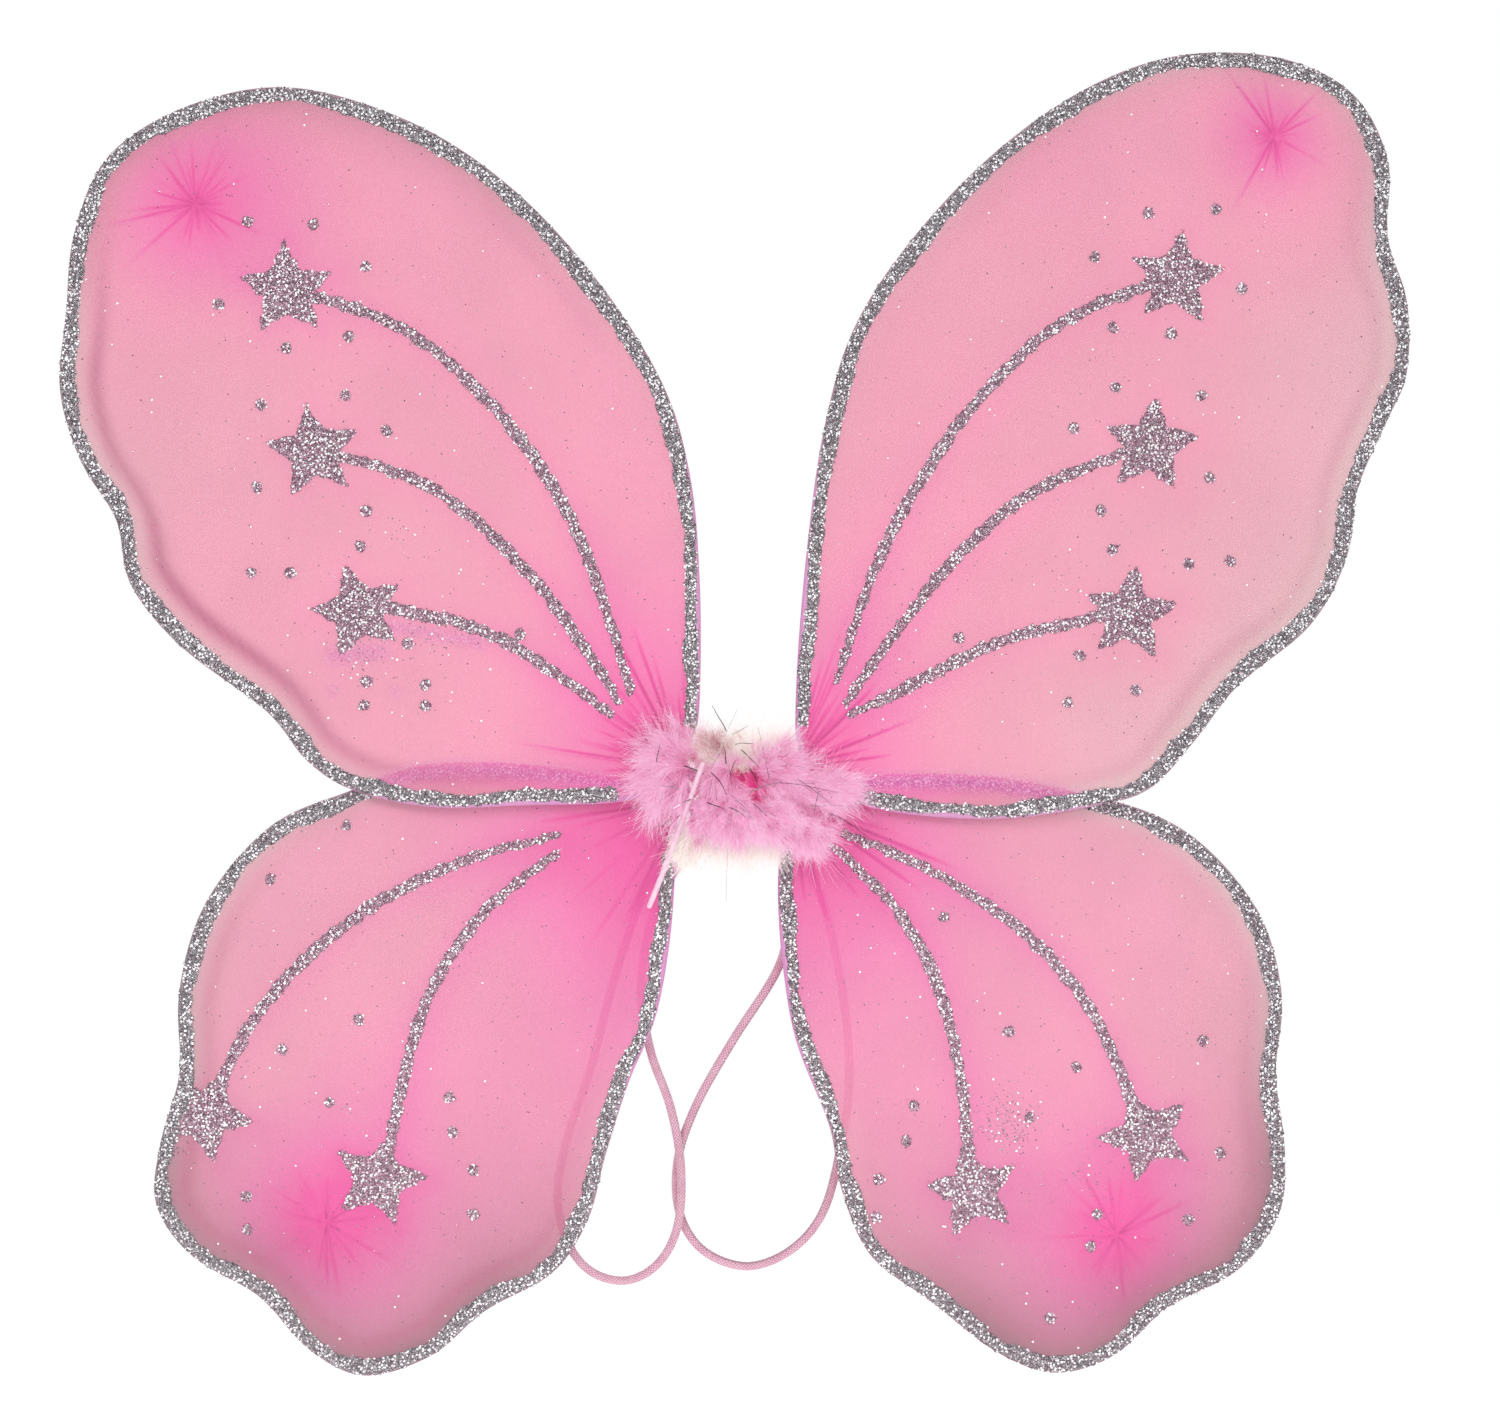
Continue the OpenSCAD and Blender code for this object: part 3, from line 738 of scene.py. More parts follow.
def edge_shade(wing, points, away, reach, drift, tip, dye):
    """Paints shade on the dye beside the edge's glitter, where the nylon bends up to the wire, at the
    top and the bottom, and draws a darker line about 11 mm inside the edge; the lower wings also get
    their own tone and painted shade toward the bottom.
    """
    top, bottom, line = EDGE_SHADE[wing.name]
    low, high = wing.edge[:, 1].min(), wing.edge[:, 1].max()
    height = (points[:, 1] - low) / (high - low)
    far = clamp((reach - 20) / 45)
    lower = wing.name.startswith("lower")
    beside = np.exp(-np.maximum(away - 5, 0) / (13 if lower else 8))
    shade = beside * (top * clamp(height * 4 - 2.6) + bottom * clamp(1.5 - height * 2))
    shade = clamp(shade * far * (0.75 + 0.3 * drift))[:, None]
    # A darker line about 11 mm inside the edge
    inner_line = np.exp(-((away - 11 - 1.5 * drift) / 2.6) ** 2) * far * clamp(2.6 - height * 3)
    inner_line = clamp(inner_line * line * (0.7 + 0.5 * drift))[:, None]
    # Painted shade beside the edge's glitter
    dye = dye * (1 - shade) + linear(SHADE_COLOUR["lower" if lower else "upper"]) * shade
    # The lower wings' own tone, with painted shade darker toward the bottom, except by the tip
    if lower:
        tone_and_low_shade = 1 - np.array(LOWER_TONE) * (1 - 0.2 * clamp(1.1 - height * 2.4))[:, None]
        dye = dye * (1 - tone_and_low_shade * (1 - tip ** 3)[:, None])
    return dye * (1 - inner_line) + linear(INNER_LINE_COLOUR) * inner_line


# Glitter that has come off on a wing's back layer: ends of each streak, x and z, and its width
BACK_STREAKS = {"upper_left": [((-119, 54), (-87, 48), 3), ((-137, 44), (-121, 45), 4),
                               ((-138, 32), (-137, 32), 2), ((-117, 32), (-116, 32), 2)]}


def glitter_behind(wing, points):
    """How much glitter on the back layer or the lower wing shows through the front nylon, 0 to 1."""
    shown = np.zeros(len(points))
    for start, end, width in BACK_STREAKS.get(wing.name, []):
        shown += 0.6 * np.exp(-(distance_to(points, np.array([start, end], float)) / width) ** 2 * 2)
    if wing.name.startswith("upper"):
        other = wings[wing.name.replace("upper", "lower")]
        away = distance_to(points, other.inset(EDGE_W / 2))
        shown += (0.7 if wing.hand < 0 else 0.95) * np.exp(-(away / EDGE_W) ** 2 * 3)
    return np.clip(shown, 0, 0.9)


def glue_shadow_and_pull(wing, points):
    """How much the nylon is deepened beside the stars and their trails, from 0 to 1: drawn together by
    the glue, and a painted shadow that falls to their lower right.
    """
    below = points + [-1.5, 1.5]
    away = np.full(len(points), 99.0)
    for node in stars_of(wing):
        away = np.minimum(away, distance_to(below, front_outlines(node)[0]))
    return np.exp(-(away / 6) ** 1.5)


def polar(centre, radii, count, spacing):
    """Rings of points round a centre, at a spacing but no more than count to a ring."""
    rings = []
    for r in radii:
        number = int(np.clip(2 * np.pi * r / spacing, 16, count))
        turn = 2 * np.pi * (np.arange(number) + 0.5 * (len(rings) % 2)) / number
        rings.append(centre + r * np.column_stack([np.cos(turn), np.sin(turn)]))
    return np.vstack(rings)


# The rim's steps round the wire, and how far from a wing's tip and root the fine mesh reaches
RIM_STEPS, TIP_ZONE, ROOT_ZONE = 7, 42, 74


def rim_rows(wing, rim_line):
    """Rows of points round the wire's outside, from the front sheet's edge to the back sheet's."""
    rows = []
    for turn in np.pi * np.arange(1, RIM_STEPS) / RIM_STEPS:
        out = rim_line - wing.inward * RIM_R * math.sin(turn)
        depth = np.full(len(out), -wing.plane - RIM_R * math.cos(turn))
        rows.append(np.column_stack([out[:, 0], depth, out[:, 1]]))
    return rows


def cover_field(wing, rim_line):
    """Points inside the rim: close round the tip and the root, where the nylon is folded."""
    tip_zone = polar(wing.tip, 0.5 * 1.08 ** np.arange(58), 230, 0.4)
    root_zone = polar(wing.neck, 2.0 * 1.05 ** np.arange(74), 640, 0.45)
    field = hex_grid(rim_line.min(0), rim_line.max(0), 2.4)
    tip_r = far_from(field, wing.tip)
    root_r = far_from(field, wing.neck)
    field = field[(tip_r > TIP_ZONE) & (root_r > ROOT_ZONE)]
    root_zone = root_zone[far_from(root_zone, wing.tip) > TIP_ZONE]
    return well_inside(np.vstack([field, tip_zone, root_zone]), rim_line, 0.7)


def add_cover(wing, shader):
    """Two nylon sheets, front and back, that meet in a round rim over the wire."""
    rim_line = wing.inset(RIM_R)
    flat, triangles = fill(rim_line, cover_field(wing, rim_line))
    count, rim_count = len(rim_line), RIM_STEPS - 1
    away = distance_to(flat, wing.edge)
    front, back = wing.sides(flat, away)
    sheet_front = np.column_stack([flat[:, 0], -wing.plane - front, flat[:, 1]])
    sheet_back = np.column_stack([flat[:, 0], -wing.plane + back, flat[:, 1]])
    points = np.vstack([sheet_front, sheet_back] + rim_rows(wing, rim_line))
    size = len(flat)
    ring = [2 * size + k * count + np.arange(count) for k in range(rim_count)]
    ring = [np.arange(count)] + ring + [size + np.arange(count)]
    quads = [np.column_stack([a[:-1], b[:-1], b[1:], a[1:]]) for a, b in zip(ring[:-1], ring[1:])]
    faces = [triangles, triangles[:, ::-1] + size, np.vstack(quads)]
    dye, cover = nylon_look(wing, flat, away)
    dye_rim, cover_rim = np.tile(dye[:count], (rim_count, 1)), np.tile(cover[:count], rim_count)
    behind, plain_rim = glitter_behind(wing, flat), np.zeros(rim_count * count)
    obj = make(f"{wing.name}_nylon", points, faces, shader, "nylon", wing.body, [f"{wing.name}_cover"],
               dye=np.vstack([dye, dye, dye_rim]), cover=np.concatenate([cover, cover, cover_rim]),
               glitter_behind=np.concatenate([behind, behind, plain_rim]))
    area_of(wing.edge) * MM * MM


nylon_shader = nylon()
for wing in wings.values():
    add_cover(wing, nylon_shader)

# ---------------------------------------------------------------- glitter glue
# The radius of a flake of foil, the height of a bead of glue and the width of its rounded edge
FLAKE_R, GLUE_H, GLUE_ROUND = 0.24, 0.45, 1.3
# The share of flakes that lie flat and are near white and hardly metallic, painted glints, and how far
# they stand out from the rest
BRIGHT_SHARE, BRIGHT_RAISED = 0.09, 0.22


def glitter_glue(name, dark, light):
    """Dried glue packed with fine glitter: each speck has its own tone and tilt."""
    s = Shader(name, roughness=0.32, metallic=0.75)
    place = s.place()
    cells = s.node("TexVoronoi", {"Vector": place, "Scale": 2.3})
    tone = s.node("SeparateColor", {0: cells.outputs["Color"]}).outputs[0]
    between = tuple(0.6 * a + 0.4 * b for a, b in zip(dark, light))
    s.paint(tone, [(0.0, dark), (0.35, between), (0.7, light), (0.95, (250, 248, 250))])
    s.bump(s.math("ADD", tone, cells.outputs["Distance"]), 0.35, 0.9)
    return s


def glitter_flake():
    """Cut foil: silver, with some flakes darker, some that lean to lavender, and the brightest near
    white and hardly metallic: painted glints.
    """
    s = Shader("glitter_flake", roughness=0.26)
    tone = s.attribute("tone")
    silver = s.ramp(tone, [(0.0, (124, 118, 122)), (0.4, (154, 146, 152)), (0.7, (196, 190, 194)),
                           (0.86, (255, 254, 255))])
    s.link(s.grey_ramp(tone, 0.85, 0.1, 0.65, 0.86), "Metallic")
    colour = s.mix(s.attribute("lilac"), silver, (252, 174, 208), "MULTIPLY")
    s.link(colour, "Base Color")
    s.bump(s.noise(6.0, 2), 0.03, 0.3)
    return s


def flakes(name, spots, tilt, source, wing, shader, lilac, dull=1.1):
    """Six-sided flakes of foil at spots, each turned its own way about the wing's front."""
    count = len(spots)
    # bright marks the flakes that carry painted glints
    bright = source.random(count) < BRIGHT_SHARE
    lean, turn = np.abs(source.normal(0, tilt, count)), source.uniform(0, 2 * np.pi, count)
    lean[bright] *= 0.4
    normal = np.column_stack([np.sin(lean) * np.cos(turn), -np.cos(lean), np.sin(lean) * np.sin(turn)])
    u = unit(np.cross(normal, source.normal(0, 1, (count, 3))))
    v = np.cross(normal, u)
    radius = FLAKE_R * source.uniform(0.65, 1.2, count)
    radius[bright] = FLAKE_R * source.uniform(1.3, 1.8, bright.sum())
    spots = spots - bright[:, None] * [0, BRIGHT_RAISED, 0]
    ring = circles(round_turn(6), u, v)
    points = (spots[:, None] + radius[:, None, None] * ring).reshape(-1, 3)
    tone = np.repeat(np.where(bright, 1.0, 0.68 * source.uniform(0, 1, count) ** dull), 6)
    tinted = (source.random(count) < lilac) & ~bright
    tint = np.repeat(np.where(tinted, source.uniform(0.3, 0.9, count), 0), 6)
    make(name, points, np.arange(6 * count).reshape(-1, 6), shader, "glitter_glue", wing.body,
         smooth=False, tone=tone, lilac=tint)


def scatter(points, triangles, number, source):
    """Random places over a mesh, even by area."""
    a, b, c = points[triangles[:, 0]], points[triangles[:, 1]], points[triangles[:, 2]]
    area = np.linalg.norm(np.cross(b - a, c - a), axis=1)
    pick = source.choice(len(triangles), number, p=area / area.sum())
    u, v = source.random(number), source.random(number)
    over = u + v > 1
    u[over], v[over] = 1 - u[over], 1 - v[over]
    return a[pick] + u[:, None] * (b - a)[pick] + v[:, None] * (c - a)[pick]


def roughen(loop, amount, source):
    """A closed outline with a finely uneven edge."""
    line = resample(closed(loop), 0.9)[:-1]
    ahead = unit(np.roll(line, -1, 0) - np.roll(line, 1, 0))
    out = np.column_stack([ahead[:, 1], -ahead[:, 0]])
    jitter = source.normal(0, 1, len(line))
    jitter = (np.roll(jitter, 1) + 2 * jitter + np.roll(jitter, -1)) / 2.4
    return line + out * (amount * np.clip(jitter, -1.6, 1.6))[:, None]


def drawn_in(wing, line):
    """The edge's glitter stays off the wire by the middle, where the nylon shows at the wing's edge."""
    reach = far_from(line, wing.neck)
    near = clamp((reach - 14) / 10) * clamp((115 - reach) / 40)
    margin = 1.3 * near * (0.6 + 0.4 * np.sin(reach / 7.0))
    shift = clamp((3.0 - distance_to(line, wing.edge)) / 2) * margin
    nearest = wing.inward[[np.argmin(((wing.edge - p) ** 2).sum(1)) for p in line]]
    return line + nearest * shift[:, None]


def add_glitter(wing, node, glue, foil, ragged, density, lilac, dull, margin=False):
    """One CAD piece of glitter as a domed, lumpy bead of glue with loose-cut foil all over it.

    ragged is the unevenness of its edge, density its flakes to a square millimetre, lilac the share of
    them that is tinted, and dull how far their tones lean to dark."""
    source = draw(node)
    parts, spots = [], []
    for loop in front_outlines(node):
        if area_of(loop) < 1.0:
            continue
        line = resample(closed(loop), 1.0)[:-1]
        if margin:
            line = drawn_in(wing, line)
        line = roughen(line, ragged, source)
        inner = well_inside(hex_grid(line.min(0), line.max(0), 0.95), line, 0.45)
        flat, triangles = fill(line, inner)
        away = distance_to(flat, closed(line))
        dome = np.sqrt(1 - (1 - np.minimum(away / GLUE_ROUND, 1)) ** 2)
        height = GLUE_H * dome * (1 + 0.25 * waves(flat, 1.6, source)) - 0.03
        points = np.column_stack([flat[:, 0], wing.front(flat) - height, flat[:, 1]])
        parts.append((points, triangles))
        number = int(area_of(line) * density)
        here = scatter(points, triangles, number, source)
        here += source.normal(0, 1, here.shape) * [0.16, 0, 0.16]
        here[:, 1] -= source.uniform(0.02, 0.2, number)
        spots.append(here)
    points, faces = joined(parts)
    make(f"{node}_glue", points, faces, glue, "glitter_glue", wing.body, [node])
    flakes(f"{node}_foil", np.vstack(spots), 0.42, source, wing, foil, lilac, dull)


# Where glitter has spilled on a wing: x and z of the patch, its spread and its number of specks
SPILLS = {"upper_left": [(-127, 43, 5, 70), (-103, 51, 6, 60), (-117, 84, 4, 20)],
          "upper_right": [(112, 70, 5, 24)],
          "lower_left": [(-168, -96, 4, 20), (-188, -122, 4, 30)],
          "lower_right": [(92, -115, 5.5, 230), (122, -133, 5, 40)]}


# Specks over each wing's box: how many places are drawn, and how many of them are used
SPECKS_DRAWN, SPECKS_USED = 1500, 700


def add_specks(wing, foil):
    """Loose glitter that has stuck all over the nylon, and thicker where it has spilled."""
    source = draw(wing.name + "_specks")
    low, high = wing.edge.min(0), wing.edge.max(0)
    flat = source.uniform(low, high, (SPECKS_DRAWN, 2))[:SPECKS_USED]
    spills = [source.normal((x, z), spread, (count, 2)) for x, z, spread, count in SPILLS[wing.name]]
    flat = np.vstack([flat, *spills])
    flat = flat[inside(flat, wing.inset(4.0))]
    spots = np.column_stack([flat[:, 0], wing.front(flat) - 0.08, flat[:, 1]])
    flakes(f"{wing.name}_specks", spots, 0.35, source, wing, foil, lilac=0.15)


edge_glue = glitter_glue("glitter_glue_edge", (118, 112, 116), (184, 178, 182))
star_glue = glitter_glue("glitter_glue_star", (160, 116, 138), (214, 168, 190))
foil_shader = glitter_flake()
for wing in wings.values():
    # The lower right edge lies in shade in the photo
    # There its edge's flakes are painted darker and more lilac: painted shade
    lilac, dull = (0.4, 2.4) if wing.name == "lower_right" else (0.15, 1.6)
    add_glitter(wing, f"{wing.name}_edge", edge_glue, foil_shader, ragged=0.25, density=4.8,
                lilac=lilac, dull=dull, margin=True)
    for node in stars_of(wing):
        add_glitter(wing, node, star_glue, foil_shader, ragged=0.32, density=4.6, lilac=0.75, dull=0.75)
    add_glitter(wing, f"{wing.name}_dots", star_glue, foil_shader, ragged=0.18, density=4.8,
                lilac=0.6, dull=0.75)
    add_specks(wing, foil_shader)


# ---------------------------------------------------------------- wires, ties and tufts
# The wire's radius and, where four wires are twisted together, how far each lies from the middle
WIRE_R, TWIST_R = 0.95, 1.45
# The gathered nylon behind a tip: how far behind the wing's middle plane it starts, then the depth
# from there, the radius and the height of the pleats of each ring
TUFT_START = 0.9
TUFT_PROFILE = [(0.0, 3.6, 0.25), (0.5, 2.7, 0.3), (1.0, 2.2, 0.22), (1.9, 1.9, 0.12), (2.8, 1.95, 0.15),
                (3.6, 2.2, 0.3), (4.4, 2.6, 0.5), (5.1, 3.1, 0.8), (5.5, 3.4, 1.0)]


def steel():
    """Galvanised wire with faint drawing marks."""
    s = Shader("frame_wire", roughness=0.38, metallic=0.9)
    mark = s.noise(0.8, 4)
    s.paint(mark, [(0.3, (120, 120, 124)), (0.7, (176, 176, 180))])
    s.bump(mark, 0.05, 0.4)
    return s


def thread():
    """Wound sewing thread: two plies that twist, with a soft sheen."""
    s = Shader("thread", roughness=0.55, sheen_weight=0.4, sheen_roughness=0.3)
    ply = s.math("SINE", s.math("MULTIPLY_ADD", s.attribute("along"), 9.0,
                                s.math("MULTIPLY", s.attribute("around"), 4 * math.pi)))
    # The plies' grooves come out darker: painted shade, over a random worn tone
    worn = s.math("MULTIPLY_ADD", ply, 0.2, s.noise(0.9, 3))
    s.paint(worn, [(0.2, (188, 52, 116)), (0.55, (228, 96, 156)), (0.9, (248, 160, 200))])
    s.bump(ply, 0.08, 0.7)
    return s


def add_wire(wing, shader):
    """A wing's bent wire, whose two ends run on into the twist."""
    node = f"{wing.name}_wire"
    line = wing.inset(RIM_R)
    middle, half = box_mm(node)
    inner_x = middle[0] - wing.hand * half[0]
    flat = np.vstack([(inner_x, line[0][1]), line, (inner_x, line[-1][1])])
    line = np.insert(flat, 1, -wing.plane, axis=1)
    make_tube(f"{wing.name}_frame", line, WIRE_R, 10, shader, "frame_wire", wing.body, [node])


def add_thread(wing, part, shader, axis, turns, thick, power):
    """The thread of a tie: a helix along one axis of its CAD node's box, round or squarish."""
    node = f"{wing.name}_{part}_tie"
    middle, half = box_mm(node)
    half = half - thick
    t = np.linspace(0, turns, int(turns * 40) + 1)
    line = np.tile(middle, (len(t), 1))
    line[:, axis] += half[axis] * (2 * t / turns - 1)
    across = [k for k in range(3) if k != axis]
    line[:, across] += half[across] * np.column_stack(squarish(2 * np.pi * (t % 1), power))
    make_tube(f"{wing.name}_{part}_thread", line, thick, 8, shader, "thread", wing.body, [node])


def gathered(name, rings, faces, rgb, cover, shader, body=None):
    """A piece of pleated nylon, all in one colour."""
    points = np.vstack(rings)
    dye = np.tile(linear(rgb), (len(points), 1))
    return make(name, points, faces, shader, "nylon", body, dye=dye, cover=np.full(len(points), cover))


def add_tuft_behind(wing, cloth):
    """The nylon that is gathered behind a tip and fans out in pleats behind its thread."""
    middle = box_mm(f"{wing.name}_tip_tie")[0]
    source = draw(wing.name + "_tuft")
    sides = 96
    turn = round_turn(sides)
    pleat = sum(source.uniform(0.3, 1) * np.sin(n * turn + source.uniform(0, 6)) for n in (7, 11, 16))
    pleat = pleat / 1.6
    start = TUFT_START - wing.plane
    rings = []
    for depth, radius, ruffle in TUFT_PROFILE:
        r = radius + ruffle * pleat
        y = start + depth + (0.35 * pleat if depth > 4 else 0 * pleat)
        rings.append(np.column_stack([middle[0] + r * np.cos(turn), y, middle[2] + r * np.sin(turn)]))
    faces = skin(len(rings), sides)[:, [0, 3, 2, 1]]
    gathered(f"{wing.name}_tuft", rings, faces, (255, 130, 186), 0.6, cloth, wing.body)


def add_stalk(wing, cloth):
    """The pleated nylon neck that runs from a wing into the end of the binding."""
    middle, half = box_mm("binding")
    start_x = middle[0] + wing.hand * (half[0] - 0.8)
    start = np.array([start_x, middle[1], 1.6 * np.sign(wing.neck[1])])
    end = np.array([wing.neck[0] + wing.hand * 0.9, -wing.plane, wing.neck[1]])
    steps, sides = 14, 64
    turn = round_turn(sides)
    source = draw(wing.name + "_stalk")
    pleat = sum(np.sin(n * turn + source.uniform(0, 6)) for n in (6, 9, 13)) / 3
    rings = []
    for t in np.linspace(0, 1, steps):
        ease = t * t * (3 - 2 * t)
        centre = start + (end - start) * np.array([t, ease, ease])
        wide, tall = 1.5 + 0.15 * ease, 1.6 + 1.2 * ease
        ripple = 1 + 0.12 * pleat
        ring = np.column_stack([0 * turn, wide * ripple * np.cos(turn), tall * ripple * np.sin(turn)])
        rings.append(centre + ring)
    faces = skin(steps, sides)
    if wing.hand < 0:
        faces = faces[:, ::-1]
    stalk = gathered(f"{wing.name}_stalk", rings, faces, (252, 104, 172), 0.9, cloth)
    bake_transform(stalk)


# ---------------------------------------------------------------- the binding and the tie
def tape():
    """Woven satin tape, hot pink, with ribs across it, painted shade where each lap runs under the next,
    and darker ends.
    """
    s = Shader("binding_tape", roughness=0.42, sheen_weight=0.5, sheen_roughness=0.35)
    place = s.place()
    rib = s.node("TexWave", {"Vector": place, "Scale": 0.9, "Distortion": 0.3, "Detail": 1.0},
                 bands_direction="Z").outputs["Fac"]
    # lap paints shade under the edge of each lap; the noise adds a random tone
    shade = s.math("ADD", s.math("MULTIPLY", s.noise(0.35, 3), 0.6),
                   s.math("MULTIPLY", s.attribute("lap"), 0.5))
    s.paint(shade, [(0.15, (196, 32, 112)), (0.5, (238, 62, 148)), (0.85, (250, 124, 186))])
    s.bump(rib, 0.12, 0.5)
    return s


def add_binding(shader):
    """Tape wound round the twisted wires: each lap lies over the last, and the back is pressed flat."""
    middle, half = box_mm("binding")
    low, high = middle - half, middle + half
    groove_x = box_mm("tie_band")[0][0]
    sides, lap_w = 120, 4.5
    x = np.arange(low[0], high[0] + 0.01, 0.25)
    turn = round_turn(sides)
    flat_y, flat_z = squarish(turn, 0.45)
    rings, laps = [], []
    for place in x:
        lap = ((place - low[0]) / lap_w + turn / (2 * np.pi)) % 1
        ledge = 0.34 * lap + 0.3 * np.exp(-(lap / 0.05) ** 2)
        ledge = ledge + 1.5 * math.exp(-((place - groove_x) / 0.85) ** 6)
        end = min(place - low[0], high[0] - place)
        ledge = ledge + 1.2 * (1 - math.sqrt(1 - (1 - min(end / 1.2, 1)) ** 2))
        wide, tall = half[1] - ledge, half[2] - ledge
        ring = middle + np.column_stack([np.zeros(sides), wide * flat_y, tall * flat_z])
        ring[:, 0] = place
        rings.append(ring)
        # lap is low just before the next lap lies over, and at the ends: it drives painted shade
        laps.append(1 - lap)
    for edge in (rings[0], rings[-1]):
        for shrink in (0.75, 0.45):
            rings.append(middle + (edge - middle) * [1, shrink, shrink])
            laps.append(np.full(sides, 0.2))
    order = [len(x) + 1, len(x)] + list(range(len(x))) + [len(x) + 2, len(x) + 3]
    points = np.vstack([rings[k] for k in order])
    make("binding_wrap", points, skin(len(order), sides), shader, "binding_tape", "hub", ["binding"],
         lap=np.concatenate([laps[k] for k in order]))


def plastic():
    """Milky pink plastic with a faint mould haze."""
    s = Shader("tie_plastic", roughness=0.34, subsurface_weight=0.15, coat_weight=0.15)
    s.paint(s.noise(0.5, 3), [(0.3, (252, 200, 224)), (0.7, (255, 220, 236))])
    s.bump(s.noise(3.0, 2), 0.03, 0.3)
    return s


TIE_TAIL_ROUTE = [(-12, -17.3, 7), (-17.3, -17, -8), (-24, -14, -26), (-30, -9.5, -41)]
# How thick the tie is in its ring, and its free end, which shows a little wider in the photo
TIE_D, TAIL_D = 1.6, 1.9


def add_tie(shader):
    """The plastic tie: a ring in the binding's groove, and its free end that hangs before the wing."""
    line = resample(smooth_curve(TIE_TAIL_ROUTE, 8), 1.0)
    make_tube("tie_strand", line, TAIL_D / 2, 18, shader, "tie_plastic", "tie_tail", ["tie_tail"])
    middle, half = box_mm("tie_band")
    y, z = squarish(round_turn(96), 0.5)
    ring = closed(middle + np.column_stack([0 * y, y, z]) * (half - TIE_D / 2))
    make_tube("tie_ring", ring, TIE_D / 2 - 0.1, 12, shader, "tie_plastic", "hub", ["tie_band"])


def add_twist(shader):
    """The four wing wires twisted together, which only their ends show."""
    middle, half = box_mm("wire_twist")
    part = np.linspace(0, 1, 60)
    x = middle[0] + half[0] * (2 * part - 1)
    parts = []
    for k in range(4):
        turn = np.pi / 2 * k + 3 * np.pi * part
        line = np.column_stack([x, middle[1] + TWIST_R * np.cos(turn), TWIST_R * np.sin(turn)])
        parts.append(tube(line, WIRE_R, 10)[:2])
    points, faces = joined(parts)
    make("twisted_wires", points, faces, shader, "frame_wire", "hub", ["wire_twist"])


steel_shader, thread_shader = steel(), thread()
for wing in wings.values():
    add_wire(wing, steel_shader)
    add_thread(wing, "neck", thread_shader, axis=0, turns=4, thick=0.2, power=0.6)
    add_thread(wing, "tip", thread_shader, axis=1, turns=3.5, thick=0.3, power=1)
    add_tuft_behind(wing, nylon_shader)
    add_stalk(wing, nylon_shader)
add_binding(tape())
add_tie(plastic())
add_twist(steel_shader)


# ---------------------------------------------------------------- the marabou boa
def down(name, stops, roughness, sheen, painted_glow, outer=0.5):
    """Marabou down: darker at the roots, paler outward, and lifted by a faint glow of its own colour:
    painted light.
    """
    s = Shader(name, roughness=roughness, sheen_weight=sheen, sheen_roughness=0.5,
               emission_strength=painted_glow)
    tone = s.math("ADD", s.math("MULTIPLY", s.attribute("outward"), outer),
                  s.math("MULTIPLY", s.attribute("lock"), 1 - outer))
    # The colour also glows faintly: painted light
    s.link(s.paint(tone, stops), "Emission Color")
    return s


PINK = [(0.0, (166, 56, 104)), (0.12, (204, 108, 156)), (0.3, (222, 150, 190)), (0.6, (232, 188, 214)),
        (1.0, (240, 216, 232))]
BROWN = [(0.0, (168, 96, 118)), (0.4, (214, 160, 172)), (0.7, (226, 194, 192)), (1.0, (246, 230, 222))]
CREAMY = [(0.0, (216, 196, 188)), (0.35, (244, 232, 226)), (0.8, (255, 252, 250))]


def barbs(name, roots, ways, lengths, width, curl, tone, source, body, shader, replaces=()):
    """Fine feather barbs: each a tapering ribbon that bends its own way from its root."""
    count, steps = len(roots), 7
    t = np.linspace(0, 1, steps)
    bend = unit(np.cross(ways, source.normal(0, 1, (count, 3))))
    bend = bend * curl * source.uniform(0.3, 1, (count, 1))
    bend[:, 2] -= 0.12
    reach = t[None, :, None] * ways[:, None] + (t ** 2)[None, :, None] * bend[:, None]
    line = roots[:, None] + lengths[:, None, None] * reach
    line += 0.12 * np.sin(7 * t[None, :, None] + source.uniform(0, 6, (count, 1, 3)))
    side = unit(np.cross(ways, source.normal(0, 1, (count, 3))))
    half = width / 2 * np.sqrt(1 - 0.85 * t)[None, :, None]
    points = np.stack([line - side[:, None] * half, line + side[:, None] * half], 2).reshape(-1, 3)
    first = (np.arange(count) * steps * 2)[:, None] + 2 * np.arange(steps - 1)[None]
    a = first.ravel()
    faces = np.column_stack([a, a + 1, a + 3, a + 2])
    outward = np.tile(np.repeat(t, 2), count)
    return make(name, points, faces, shader, "marabou", body, replaces, outward=outward,
                lock=np.repeat(tone, steps * 2))


BOA_CORE = [(-13, -17.5, -8), (-3, -19, -11), (6, -19, -11.5), (15, -18, -10.5)]
